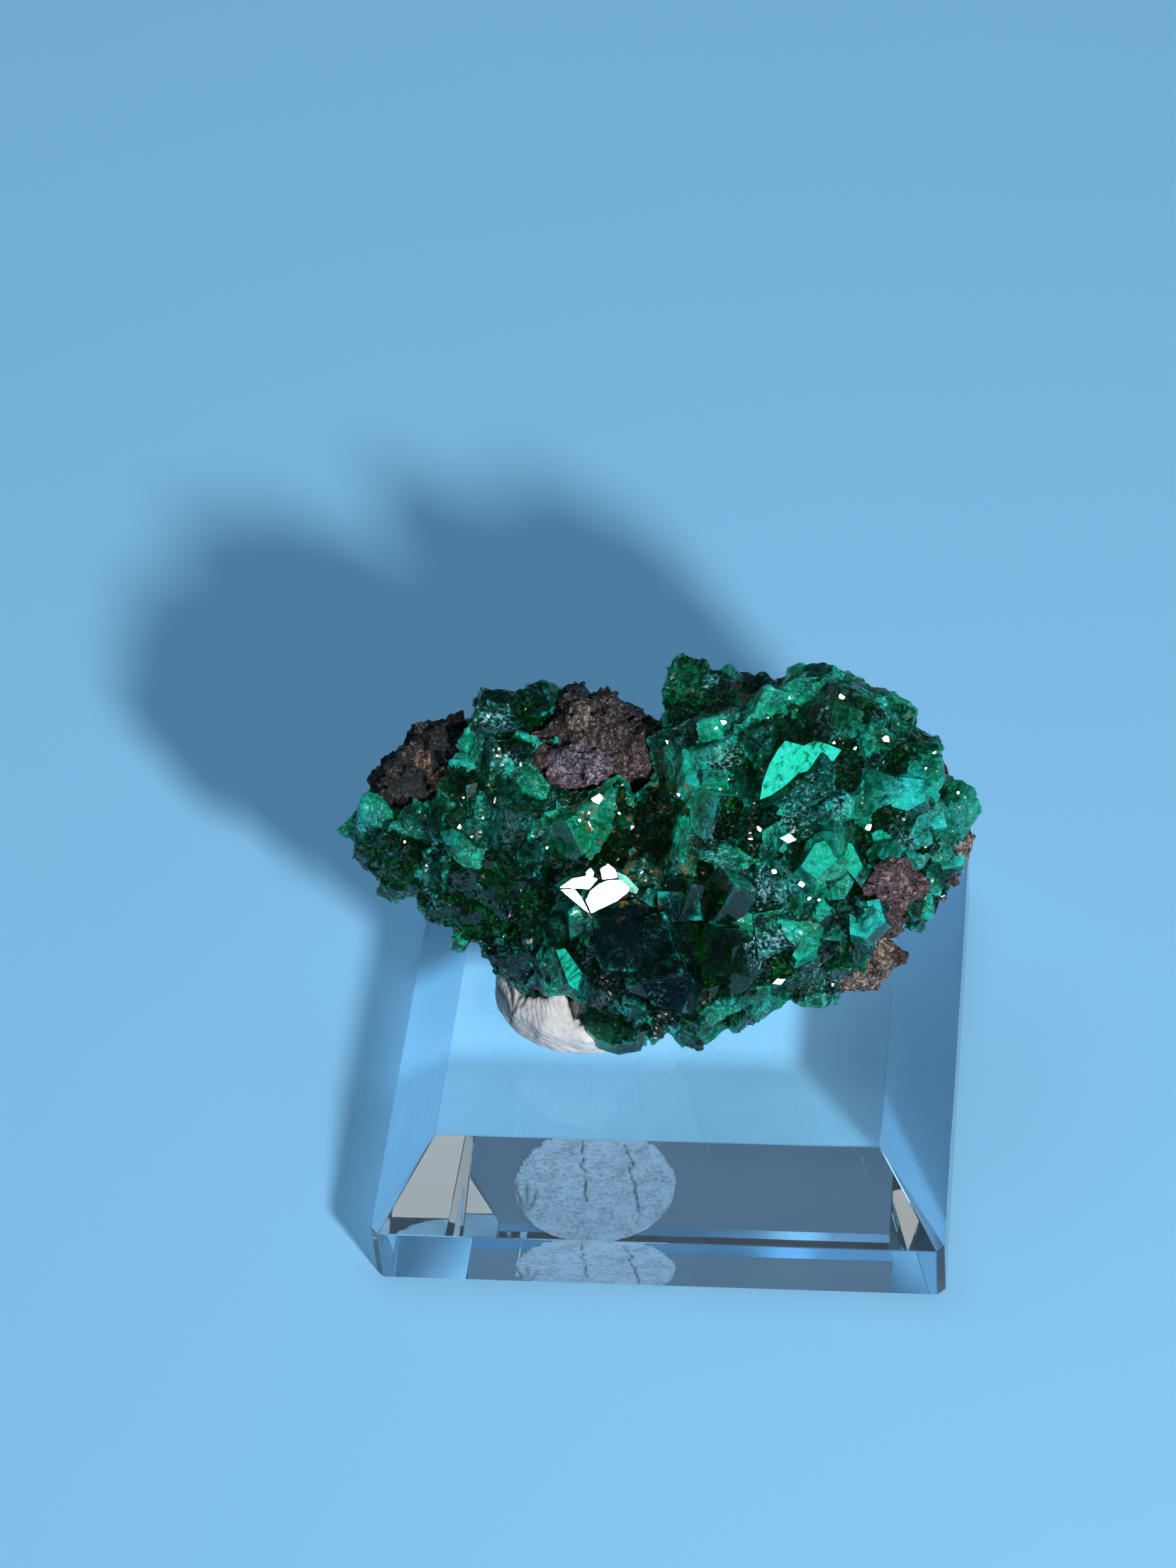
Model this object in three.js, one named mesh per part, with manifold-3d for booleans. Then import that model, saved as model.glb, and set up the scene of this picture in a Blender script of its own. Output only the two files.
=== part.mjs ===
// Dioptase specimen: a crust of dark emerald dioptase crystals on brown iron-stained rock, held by a
// lump of grey-white putty on a clear acrylic block with wide bevels.
// Millimetres, +Z up. The origin is the centre of the block's underside and the front looks along -Y.
import * as THREE from 'three';
import { ConvexGeometry } from 'three/addons/geometries/ConvexGeometry.js';
import { mergeVertices } from 'three/addons/utils/BufferGeometryUtils.js';
import Module from 'manifold-3d';

const wasm = await Module();
wasm.setup();

// Gap kept between two pieces that touch
const GAP = 0.3;

// Acrylic block, a standard 2 x 2 x 1/2 inch display base
const BLOCK_SIDE = 50.8;
const BLOCK_HEIGHT = 12.7;
const BLOCK_TOP_SIDE = 39.3;
const BLOCK_WALL = 5.7;
const BLOCK_CORNER_CUT = 0.7;

// Putty lump, a squashed ball: where its contact disc sits on the block, its profile above the block as
// radius and height, how far its belly sags forwards, and the pressed ridges round its side
const PUTTY_CENTRE = [-8.0, 0.6];
const PUTTY_LEAN = [0.28, 0.10];
const PUTTY_SAG = 5.8;
const PUTTY_PROFILE = [[7.0, 0], [8.0, 1.0], [8.5, 3.0], [8.3, 5.4], [7.5, 8.0], [6.0, 10.0]];
const PUTTY_SIDES = 26;
const PUTTY_RIDGE = 0.16;
const PUTTY_RIDGE_COUNT = 13;
const PUTTY_RIDGE_START = 3;
const PUTTY_RIDGE_TWIST = 0.5;

// Specimen: its display face leans back, so that it looks up at the viewer.
// On it a place is given as across (to the right), up (along the face) and out (towards the viewer).
const FACE_CENTRE = [0, 0, 28.0];
const FACE_LEAN = THREE.MathUtils.degToRad(42);

// The lobes that give the crust its outline: centre, half sizes, and the spacing of the small crystals
// where it isn't the usual one
const CRUST_LOBES = [
  { at: [-19.8, 2.0, -3.0], half: [9.0, 6.6, 5.6], step: 3.5 },
  { at: [-20.2, 6.6, -3.6], half: [6.6, 5.6, 4.6], step: 4.0 },
  { at: [-15.2, -3.2, -2.6], half: [7.3, 5.0, 5.4], step: 3.8 },
  { at: [-11.4, 2.8, -2.2], half: [10.8, 11.2, 9.0] },
  { at: [10.8, 3.4, -0.8], half: [14.4, 12.8, 9.8] },
  { at: [20.4, 3.4, -2.2], half: [5.8, 7.4, 6.2] },
  { at: [10.8, -6.6, -0.8], half: [8.2, 5.2, 6.2] },
  { at: [0.6, -6.8, 0.0], half: [11.6, 8.8, 7.4] },
  { at: [-9.6, -7.6, -0.4], half: [5.6, 4.4, 4.6] },
];
const CRUST_DETAIL = 1;
const CRUST_ROUGH = 0.05;

// The rock: cores inside the lobes, and the places where it comes up through the crystals
const ROCK_CORES = [
  { at: [-18.8, 2.8, -4.8], half: [8.6, 6.6, 5.6] },
  { at: [-11.4, 2.6, -5.0], half: [10.4, 10.6, 8.6] },
  { at: [10.4, 3.0, -4.6], half: [13.6, 11.8, 9.8] },
  { at: [0.8, -5.2, -3.4], half: [10.8, 8.0, 7.4] },
  { at: [-0.6, 3.0, -6.6], half: [10.4, 8.4, 6.6] },
];
const ROCK_WINDOWS = {
  brownPatch: { at: [-6.2, 9.0, -1.4], half: [7.4, 5.5, 6.4] },
  pinkishBulge: { at: [-7.6, 7.6, 2.2], half: [4.6, 2.8, 4.8] },
  blackPatchFarLeft: { at: [-20.5, 6.8, -2.8], half: [6.6, 6.2, 5.2] },
  spotRight: { at: [20.4, -1.8, 3.2], half: [2.6, 2.4, 5.6] },
  smallSpotRight: { at: [19.4, -4.9, 0.4], half: [1.8, 1.7, 5.8] },
  lowerRightCorner: { at: [16.2, -7.8, -3.0], half: [4.7, 3.9, 4.1] },
  rightRim: { at: [22.8, 3.0, -3.6], half: [4.5, 5.8, 3.4] },
};
const ROCK_DETAIL = 2;
const WINDOW_DETAIL_LARGE = 2;
const WINDOW_DETAIL_SMALL = 1;
const WINDOW_LARGE = 4;
const ROCK_ROUGH = 0.11;
const ROCK_BREAKS = 14;
const WINDOW_BREAKS = 8;
const BREAK_REACH = [0.72, 0.92];

// The swells on every lump: how many waves, and how closely they run
const SWELL_COUNT = 6;
const SWELL_PACE = [2, 7];

// Dioptase form: a six-sided prism closed by three rhombs. The fall of a rhomb along the way to its
// low corner, for each unit of radius, makes the rhombs meet nearly at right angles.
const RHOMB_FALL = 1.233;
const CLEAVE_BOX = 30;

// The main crystals, placed by hand: where on the face, the radius, which way the axis points
// (across, up, out), the turn about the axis in degrees and how far the tip stands above the crust.
// A cleaved one also has the direction and the depth below its tip of the plane that it broke on.
const MAIN_CRYSTALS = {
  mirrorRhomb: { at: [-4.8, -3.4], radius: 4.2, axis: [0.05, 0.63, 0.78], turn: 109, rise: 3.2 },
  oliveBlock: { at: [0.6, -6.6], radius: 4.8, axis: [0.12, 0.62, 0.78], turn: -65, rise: 2.4 },
  darkBlock: { at: [3.0, -3.6], radius: 2.7, axis: [0.10, 0.35, 0.93], turn: 10, rise: 2.6 },
  roundGreen: { at: [-8.4, -6.6], radius: 3.1, axis: [-0.25, 0.10, 0.96], turn: 35, rise: 2.2 },
  rightOfMiddle: { at: [6.6, -3.2], radius: 3.3, axis: [0.20, 0.20, 0.96], turn: 0, rise: 2.2 },
  tallColumn: { at: [5.4, 3.8], radius: 4.2, axis: [0.05, 0.45, 0.89], turn: 20, rise: 2.5 },
  columnTop: { at: [4.2, 8.2], radius: 2.6, axis: [-0.10, 0.35, 0.93], turn: 50, rise: 2.3 },
  tealBreak: { at: [12.4, 6.8], radius: 4.6, axis: [0.42, -0.10, 0.90], turn: 12, rise: 3.0,
    cleave: { towards: [-0.35, 0.45, 0.82], depth: 1.9 } },
  darkMottled: { at: [15.0, 3.4], radius: 4.2, axis: [0.15, 0.25, 0.95], turn: 40, rise: 2.5 },
  greenFracture: { at: [14.6, -1.0], radius: 3.7, axis: [0.10, -0.15, 0.98], turn: 5, rise: 2.8,
    cleave: { towards: [0.30, -0.30, 0.90], depth: 1.4 } },
  tealPatch: { at: [21.4, 5.8], radius: 3.1, axis: [0.50, 0.05, 0.86], turn: 25, rise: 2.3,
    cleave: { towards: [0.10, 0.25, 0.96], depth: 1.2 } },
  crest: { at: [2.2, 14.6], radius: 2.9, axis: [-0.50, 0.80, 0.32], turn: 15, rise: 4.6 },
  crestRight: { at: [5.2, 15.0], radius: 2.7, axis: [0.05, 0.90, 0.42], turn: 40, rise: 2.9 },
  rimA: { at: [9.2, 13.6], radius: 3.2, axis: [0.00, 0.85, 0.52], turn: 0, rise: 1.9 },
  rimB: { at: [14.0, 13.8], radius: 3.1, axis: [0.15, 0.80, 0.58], turn: 30, rise: 2.6 },
  rimC: { at: [18.2, 12.2], radius: 2.9, axis: [0.35, 0.75, 0.56], turn: 15, rise: 2.6 },
  rimD: { at: [22.4, 8.8], radius: 3.0, axis: [0.62, 0.55, 0.56], turn: 50, rise: 3.0 },
  leftCluster: { at: [-14.6, 9.2], radius: 3.6, axis: [-0.20, 0.40, 0.90], turn: 20, rise: 2.2 },
  topLeftA: { at: [-15.6, 12.4], radius: 2.6, axis: [-0.30, 0.72, 0.62], turn: 10, rise: 3.6 },
  topLeftB: { at: [-11.4, 13.4], radius: 2.8, axis: [0.10, 0.90, 0.42], turn: 45, rise: 2.6 },
  bigMidLeft: { at: [-7.6, 2.0], radius: 4.6, axis: [-0.12, 0.22, 0.97], turn: 55, rise: 2.6 },
  leftMiddle: { at: [-13.0, 3.2], radius: 3.2, axis: [-0.15, 0.10, 0.98], turn: 5, rise: 2.2 },
  leftOfMiddle: { at: [-17.6, 2.0], radius: 2.5, axis: [-0.35, 0.05, 0.93], turn: 30, rise: 2.0 },
  lowerLeft: { at: [-14.0, -3.6], radius: 3.0, axis: [-0.30, -0.25, 0.92], turn: 40, rise: 2.0 },
  leafFacet: { at: [-7.6, -9.8], radius: 2.5, axis: [-0.20, -0.30, 0.93], turn: 25, rise: 2.2 },
  bottomLeft: { at: [-4.0, -12.0], radius: 2.8, axis: [-0.15, -0.62, 0.77], turn: 0, rise: 2.0 },
  bottomTip: { at: [-0.2, -14.4], radius: 2.0, axis: [0.00, -0.92, 0.38], turn: 20, rise: 2.4 },
  bottomRight: { at: [3.8, -13.4], radius: 2.2, axis: [0.10, -0.80, 0.60], turn: 50, rise: 2.2 },
  darkLowBlock: { at: [6.6, -8.6], radius: 4.2, axis: [0.10, 0.20, 0.97], turn: 30, rise: 2.4 },
  lowRight: { at: [10.4, -10.2], radius: 2.7, axis: [0.20, -0.60, 0.77], turn: 10, rise: 1.4 },
  greenFacet: { at: [13.0, -6.6], radius: 3.1, axis: [0.50, -0.30, 0.81], turn: 35, rise: 2.0 },
  lowMiddleRight: { at: [17.6, -4.2], radius: 2.8, axis: [0.30, -0.35, 0.89], turn: 0, rise: 2.0 },
  farRight: { at: [22.7, 1.4], radius: 2.5, axis: [0.78, -0.05, 0.62], turn: 15, rise: 2.0 },
};

// The smaller crystals that coat the lobes between the main ones: their spacing, and their radius, which
// grows from the left end to the middle. Neighbours in one patch share their lean and turn, as crystals
// grown together do. None grows deeper than COAT_COVERED in another lobe, or closer to bare rock than
// COAT_CLEAR, both as a share of the lump's own size.
const COAT_STEP = 4.6;
const COAT_RADIUS = [1.8, 2.7];
const COAT_RADIUS_ACROSS = [-24, -6];
const COAT_SIZE = [0.85, 1.2];
const COAT_RISE = [0.45, 0.8];
const COAT_LEAN = 0.9;
const COAT_PATCH = 6;
const COAT_COVERED = 0.95;
const COAT_CLEAR = 1.12;
const COAT_BACK_MARGIN = 1.6;
const CRYSTAL_DEPTH = 1.5;

// Where the putty presses on the specimen, and no crystal stands out
const PUTTY_HOLD = { at: [-8.0, -6.0, -7.2], half: [10.0, 7.0, 6.2] };

// Beyond this depth behind the display face the crust stops and the rock is bare
const BACK_EDGE = -4.8;
const BACK_SLAB = [80, 60, 40];
const BACK_SLAB_STEPS = 14;
const BACK_ROUGH = 0.7;
const BACK_WAVES = [
  { x: 0.41, y: 0.23, phase: 0 },
  { x: 0.17, y: -0.52, phase: 2 },
  { x: 0.73, y: 0.31, phase: 4 },
];

const SEED = { rock: 100, window: 200, lobe: 300, coat: 40, patch: 1000 };

const FINISH = {
  acrylic_base: { color: 0xdfeef2, roughness: 0.04, metalness: 0, transparent: true, opacity: 0.35 },
  mounting_putty: { color: 0xb9b6b2, roughness: 0.9, metalness: 0 },
  matrix_rock: { color: 0x4a332b, roughness: 0.95, metalness: 0 },
  dioptase_crystals: { color: 0x0b5a3c, roughness: 0.12, metalness: 0, flatShading: true },
};

// A repeatable stream of numbers from 0 to 1
function randomStream(seed) {
  let state = seed >>> 0;
  return () => {
    state = (state + 0x6d2b79f5) >>> 0;
    let t = state;
    t = Math.imul(t ^ (t >>> 15), t | 1);
    t ^= t + Math.imul(t ^ (t >>> 7), t | 61);
    return ((t ^ (t >>> 14)) >>> 0) / 4294967296;
  };
}

// A closed three.js geometry becomes a solid
function toSolid(geometry) {
  const plain = geometry.index ? geometry.toNonIndexed() : geometry.clone();
  plain.deleteAttribute('normal');
  plain.deleteAttribute('uv');
  const merged = mergeVertices(plain, 1e-4);
  return new wasm.Manifold(new wasm.Mesh({
    numProp: 3,
    vertProperties: new Float32Array(merged.attributes.position.array),
    triVerts: new Uint32Array(merged.index.array),
  }));
}

// A solid becomes a three.js geometry
function toGeometry(solid) {
  const mesh = solid.getMesh();
  const geometry = new THREE.BufferGeometry();
  geometry.setAttribute('position', new THREE.BufferAttribute(new Float32Array(mesh.vertProperties), 3));
  geometry.setIndex(new THREE.BufferAttribute(new Uint32Array(mesh.triVerts), 1));
  geometry.computeVertexNormals();
  return geometry;
}

// All solids joined into one
function joinAll(solids) {
  return solids.reduce((sum, solid) => sum.add(solid));
}

// The largest connected body, without crumbs or closed pockets
function largestBody(solid) {
  return solid.decompose().reduce((best, piece) => (piece.volume() > best.volume() ? piece : best));
}

// A rounded lump with seeded swells and flat breaks; grow adds to its half sizes
function lump({ at, half }, { detail, rough, breaks, seed, grow = 0 }) {
  const random = randomStream(seed);
  const waves = Array.from({ length: SWELL_COUNT }, () => ({
    along: new THREE.Vector3(random() - 0.5, random() - 0.5, random() - 0.5).normalize(),
    pace: THREE.MathUtils.lerp(...SWELL_PACE, random()),
    phase: 2 * Math.PI * random(),
  }));
  const cuts = Array.from({ length: breaks }, () => ({
    normal: new THREE.Vector3(random() - 0.5, random() - 0.5, random() - 0.5).normalize(),
    reach: THREE.MathUtils.lerp(...BREAK_REACH, random()),
  }));
  const geometry = new THREE.IcosahedronGeometry(1, detail);
  const place = geometry.attributes.position;
  const point = new THREE.Vector3();
  for (let i = 0; i < place.count; i += 1) {
    point.fromBufferAttribute(place, i).normalize();
    const swell = waves.reduce((sum, w) => sum + Math.sin(w.pace * point.dot(w.along) + w.phase), 0);
    point.multiplyScalar(1 + rough * swell / 2);
    for (const cut of cuts) {
      const past = point.dot(cut.normal) - cut.reach;
      if (past > 0) point.addScaledVector(cut.normal, -past);
    }
    point.set(
      at[0] + point.x * (half[0] + grow),
      at[1] + point.y * (half[1] + grow),
      at[2] + point.z * (half[2] + grow),
    );
    place.setXYZ(i, point.x, point.y, point.z);
  }
  return toSolid(geometry);
}

// How far out the crust's front surface stands at a place on the display face; null off the crust
function crustOut(across, up) {
  let best = null;
  for (const { at, half } of CRUST_LOBES) {
    const x = (across - at[0]) / half[0];
    const y = (up - at[1]) / half[1];
    const left = 1 - x * x - y * y;
    if (left > 0) best = Math.max(best ?? -Infinity, at[2] + half[2] * Math.sqrt(left));
  }
  return best;
}

// A box whose bottom lies on the plane through `foot`, on the side that `towards` points to
function halfSpace(foot, towards) {
  const geometry = new THREE.BoxGeometry(CLEAVE_BOX, CLEAVE_BOX, CLEAVE_BOX);
  geometry.translate(0, 0, CLEAVE_BOX / 2);
  geometry.applyQuaternion(new THREE.Quaternion().setFromUnitVectors(new THREE.Vector3(0, 0, 1), towards));
  geometry.translate(foot.x, foot.y, foot.z);
  return toSolid(geometry);
}

// One crystal with its tip at `tip`, its axis along `axis`, turned about it by `turn` radians
function crystal({ tip, axis, turn, radius, length, cleave, grow = 0 }) {
  const r = radius + grow;
  const fall = RHOMB_FALL * r;
  const points = [new THREE.Vector3(0, 0, grow)];
  for (let i = 0; i < 6; i += 1) {
    const angle = turn + i * Math.PI / 3;
    const x = r * Math.cos(angle);
    const y = r * Math.sin(angle);
    points.push(new THREE.Vector3(x, y, grow - (i % 2 ? fall : fall / 2)));
    points.push(new THREE.Vector3(x, y, -length - grow));
  }
  const turnTo = new THREE.Quaternion().setFromUnitVectors(new THREE.Vector3(0, 0, 1), axis);
  for (const point of points) point.applyQuaternion(turnTo).add(tip);
  const whole = toSolid(new ConvexGeometry(points));
  if (!cleave) return whole;
  const towards = new THREE.Vector3(...cleave.towards).normalize();
  const foot = tip.clone().addScaledVector(towards, grow - cleave.depth);
  return whole.subtract(halfSpace(foot, towards));
}

// The main crystals as sizes and places in the face's own directions
function mainCrystals() {
  return Object.values(MAIN_CRYSTALS).map(({ at, radius, axis, turn, rise, cleave }) => {
    const direction = new THREE.Vector3(...axis).normalize();
    const foot = new THREE.Vector3(at[0], at[1], crustOut(at[0], at[1]));
    return {
      tip: foot.addScaledVector(direction, rise),
      axis: direction,
      turn: THREE.MathUtils.degToRad(turn),
      radius,
      length: radius * CRYSTAL_DEPTH + rise,
      cleave,
    };
  });
}

// How deep a point lies in an oval lump: 1 on its surface, less inside
function depthIn(point, { at, half }) {
  return Math.hypot((point.x - at[0]) / half[0], (point.y - at[1]) / half[1], (point.z - at[2]) / half[2]);
}

// The stream shared by all small crystals of one patch of the face
function patchStream(point) {
  const column = Math.round(point.x / COAT_PATCH);
  const row = Math.round(point.y / COAT_PATCH);
  return randomStream(SEED.patch + 57 * column + 131 * row);
}

// The smaller crystals, spread evenly over every lobe's free surface in front of the back edge
function coatCrystals(taken) {
  const golden = Math.PI * (3 - Math.sqrt(5));
  const coat = [];
  CRUST_LOBES.forEach((lobe, index) => {
    const random = randomStream(SEED.coat + index);
    const [a, b, c] = lobe.half;
    const area = 4 * Math.PI * (a * b + b * c + c * a) / 3;
    const count = Math.round(area / (lobe.step ?? COAT_STEP) ** 2);
    for (let i = 0; i < count; i += 1) {
      const z = 1 - 2 * (i + 0.5) / count;
      const ring = Math.sqrt(1 - z * z);
      const angle = i * golden;
      const unit = new THREE.Vector3(ring * Math.cos(angle), ring * Math.sin(angle), z);
      const point = new THREE.Vector3(
        lobe.at[0] + a * unit.x,
        lobe.at[1] + b * unit.y,
        lobe.at[2] + c * unit.z,
      );
      const size = THREE.MathUtils.lerp(...COAT_SIZE, random());
      const rise = THREE.MathUtils.lerp(...COAT_RISE, random());
      const covered = CRUST_LOBES.some((other) => other !== lobe && depthIn(point, other) < COAT_COVERED);
      const bare = point.z < BACK_EDGE + COAT_BACK_MARGIN
        || depthIn(point, PUTTY_HOLD) < 1
        || Object.values(ROCK_WINDOWS).some((window) => depthIn(point, window) < COAT_CLEAR);
      const near = taken.some((main) => main.tip.distanceTo(point) < main.radius);
      if (covered || bare || near) continue;
      const patch = patchStream(point);
      const lean = new THREE.Vector3(patch() - 0.5, patch() - 0.5, patch() - 0.5);
      const normal = new THREE.Vector3(unit.x / a, unit.y / b, unit.z / c).normalize();
      const axis = normal.addScaledVector(lean, COAT_LEAN).normalize();
      const share = THREE.MathUtils.smoothstep(point.x, ...COAT_RADIUS_ACROSS);
      const radius = size * THREE.MathUtils.lerp(...COAT_RADIUS, share);
      coat.push({
        tip: point.addScaledVector(axis, rise * radius),
        axis,
        turn: 2 * Math.PI * patch(),
        radius,
        length: radius * CRYSTAL_DEPTH + rise * radius,
      });
    }
  });
  return coat;
}

// The rock as one solid; grow makes the larger one that the crystals are cut by
function buildRock(grow) {
  const cores = ROCK_CORES.map((core, i) => lump(core, {
    detail: ROCK_DETAIL, rough: ROCK_ROUGH, breaks: ROCK_BREAKS, seed: SEED.rock + i, grow,
  }));
  const windows = Object.values(ROCK_WINDOWS).map((window, i) => lump(window, {
    detail: window.half[0] > WINDOW_LARGE ? WINDOW_DETAIL_LARGE : WINDOW_DETAIL_SMALL,
    rough: ROCK_ROUGH,
    breaks: WINDOW_BREAKS,
    seed: SEED.window + i,
    grow,
  }));
  return joinAll([...cores, ...windows]);
}

// A thick slab with a rough front, which cuts the crust off at the back
function backSlab() {
  const [width, height, depth] = BACK_SLAB;
  const geometry = new THREE.BoxGeometry(width, height, depth, BACK_SLAB_STEPS, BACK_SLAB_STEPS, 1);
  const place = geometry.attributes.position;
  for (let i = 0; i < place.count; i += 1) {
    const x = place.getX(i);
    const y = place.getY(i);
    const wave = BACK_WAVES.reduce((sum, w) => sum + Math.sin(w.x * x + w.y * y + w.phase), 0);
    const front = place.getZ(i) > 0 ? BACK_EDGE + BACK_ROUGH * wave : BACK_EDGE - depth;
    place.setZ(i, front);
  }
  return toSolid(geometry);
}

// The crust with all its crystals, before the rock's room is taken out
function buildCrust(grow) {
  const lobes = CRUST_LOBES.map((lobe, i) => lump(lobe, {
    detail: CRUST_DETAIL, rough: CRUST_ROUGH, breaks: 0, seed: SEED.lobe + i, grow,
  }));
  const shell = joinAll(lobes).subtract(backSlab());
  const main = mainCrystals();
  const crystals = [...main, ...coatCrystals(main)].map((spec) => crystal({ ...spec, grow }));
  return joinAll([shell, ...crystals]);
}

// The putty lump in the block's directions: a profile turned about its axis, fluted and sagging forwards
function puttyLump() {
  const base = BLOCK_HEIGHT + GAP;
  const height = PUTTY_PROFILE[PUTTY_PROFILE.length - 1][1];
  const profile = PUTTY_PROFILE.map(([radius, level]) => new THREE.Vector2(radius, level));
  const outline = [new THREE.Vector2(0, 0), ...profile, new THREE.Vector2(0, height)];
  const geometry = new THREE.LatheGeometry(outline, PUTTY_SIDES);
  geometry.rotateX(Math.PI / 2);
  const place = geometry.attributes.position;
  for (let i = 0; i < place.count; i += 1) {
    const x = place.getX(i);
    const y = place.getY(i);
    const z = place.getZ(i);
    const radius = Math.hypot(x, y);
    const angle = Math.atan2(y, x);
    const lift = Math.min(1, z / PUTTY_RIDGE_START);
    const sag = PUTTY_SAG * Math.sin(Math.PI * z / height);
    const ridge = Math.sin(PUTTY_RIDGE_COUNT * angle + PUTTY_RIDGE_TWIST * z);
    const flute = 1 + lift * PUTTY_RIDGE * ridge / Math.max(radius, 1);
    place.setXYZ(
      i,
      PUTTY_CENTRE[0] + x * flute + PUTTY_LEAN[0] * z,
      PUTTY_CENTRE[1] + y * flute + PUTTY_LEAN[1] * z - sag,
      base + z,
    );
  }
  return geometry;
}

// The block: two square outlines with cut corners, and the smaller top square
function blockGeometry() {
  const points = [];
  const far = BLOCK_SIDE / 2;
  const near = far - BLOCK_CORNER_CUT;
  const top = BLOCK_TOP_SIDE / 2;
  for (const sx of [-1, 1]) {
    for (const sy of [-1, 1]) {
      for (const z of [0, BLOCK_WALL]) {
        points.push(new THREE.Vector3(sx * far, sy * near, z));
        points.push(new THREE.Vector3(sx * near, sy * far, z));
      }
      points.push(new THREE.Vector3(sx * top, sy * top, BLOCK_HEIGHT));
    }
  }
  return new ConvexGeometry(points);
}

function namedMesh(name, geometry) {
  const mesh = new THREE.Mesh(geometry, new THREE.MeshStandardMaterial(FINISH[name]));
  mesh.name = name;
  return mesh;
}

const specimen = new THREE.Group();
specimen.position.set(...FACE_CENTRE);
specimen.rotation.x = FACE_LEAN;
specimen.updateMatrix();

const rock = largestBody(buildRock(0));
const crystals = largestBody(buildCrust(0).subtract(buildRock(GAP)));
specimen.add(namedMesh('matrix_rock', toGeometry(rock)));
specimen.add(namedMesh('dioptase_crystals', toGeometry(crystals)));

const inFace = puttyLump().applyMatrix4(specimen.matrix.clone().invert());
const putty = largestBody(toSolid(inFace).subtract(buildCrust(GAP)).subtract(buildRock(GAP)));
const puttyMesh = namedMesh('mounting_putty', toGeometry(putty).applyMatrix4(specimen.matrix));

const part = new THREE.Group();
part.add(namedMesh('acrylic_base', blockGeometry()));
part.add(puttyMesh);
part.add(specimen);

export default part;
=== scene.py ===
"""Dioptase specimen: a dark emerald crystal crust on iron-stained rock, stuck with putty to a clear block.

Lengths in the dataclasses are millimetres, as on a drawing; meshes and node trees get metres.
"""
import logging
import math
from collections.abc import Callable, Mapping, Sequence
from dataclasses import dataclass
from enum import Enum
from functools import reduce

import bmesh
import bpy
import numpy as np
from mathutils import Matrix, Quaternion, Vector, noise
from mathutils.bvhtree import BVHTree


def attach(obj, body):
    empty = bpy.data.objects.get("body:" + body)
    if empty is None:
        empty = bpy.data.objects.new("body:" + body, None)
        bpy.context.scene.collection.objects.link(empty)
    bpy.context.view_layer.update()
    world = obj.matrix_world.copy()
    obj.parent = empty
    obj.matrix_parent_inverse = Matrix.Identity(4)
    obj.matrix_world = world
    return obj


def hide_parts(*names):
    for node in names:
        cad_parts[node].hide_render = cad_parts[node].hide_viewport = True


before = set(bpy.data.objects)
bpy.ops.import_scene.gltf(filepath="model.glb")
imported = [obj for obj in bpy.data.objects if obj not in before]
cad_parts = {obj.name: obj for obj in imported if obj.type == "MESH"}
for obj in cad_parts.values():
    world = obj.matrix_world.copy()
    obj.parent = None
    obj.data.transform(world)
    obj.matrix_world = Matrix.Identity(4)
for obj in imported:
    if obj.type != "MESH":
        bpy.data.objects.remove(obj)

LOG = logging.getLogger("specimen")
MM = 0.001
BODY = "root"
Colour = tuple[float, float, float]
Point = tuple[float, float, float]
Pixel = tuple[float, float]
Outline = tuple[Pixel, ...]

# Corners of a CAD mesh that lie closer than this are the same corner, in millimetres
SAME_CORNER = 0.0005

# The display face: its centre, and how far it leans back
FACE_CENTRE = Vector((0.0, 0.0, 28.0))
FACE_LEAN = math.radians(42.0)


def on_face(place: Point) -> Vector:
    """A point of the row frame, given as distances across, up and out on the display face, all in mm."""
    return FACE_CENTRE + Matrix.Rotation(FACE_LEAN, 3, "X") @ Vector(place)


class Wire:
    """An output socket in a node tree; arithmetic on it adds Math nodes to the tree."""

    def __init__(self, sheet: "NodeSheet", socket: bpy.types.NodeSocket) -> None:
        """Keeps the socket and the tree that it belongs to."""
        self.sheet = sheet
        self.socket = socket

    def _math(self, operation: str, *values: "Wire | float") -> "Wire":
        """Adds one Math node over the values, in their order."""
        return self.sheet.add("ShaderNodeMath", {"operation": operation}, dict(enumerate(values)))

    def __add__(self, other: "Wire | float") -> "Wire":
        """This value plus another."""
        return self._math("ADD", self, other)

    def __radd__(self, other: float) -> "Wire":
        """A number plus this value."""
        return self._math("ADD", other, self)

    def __sub__(self, other: "Wire | float") -> "Wire":
        """This value less another."""
        return self._math("SUBTRACT", self, other)

    def __rsub__(self, other: float) -> "Wire":
        """A number less this value."""
        return self._math("SUBTRACT", other, self)

    def __mul__(self, other: "Wire | float") -> "Wire":
        """This value times another."""
        return self._math("MULTIPLY", self, other)

    def __rmul__(self, other: float) -> "Wire":
        """A number times this value."""
        return self._math("MULTIPLY", other, self)

    def __abs__(self) -> "Wire":
        """This value without its sign."""
        return self._math("ABSOLUTE", self)

    def sine(self) -> "Wire":
        """The sine of this value."""
        return self._math("SINE", self)

    def clamped(self) -> "Wire":
        """This value, held between 0 and 1."""
        return self.sheet.add("ShaderNodeClamp", {}, {"Value": self})

    def rise(self, low: float, high: float) -> "Wire":
        """A smooth step, from 0 at low to 1 at high; it falls where low is above high."""
        sockets = {"Value": self, "From Min": low, "From Max": high}
        return self.sheet.add("ShaderNodeMapRange", {"interpolation_type": "SMOOTHSTEP"}, sockets)


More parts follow.
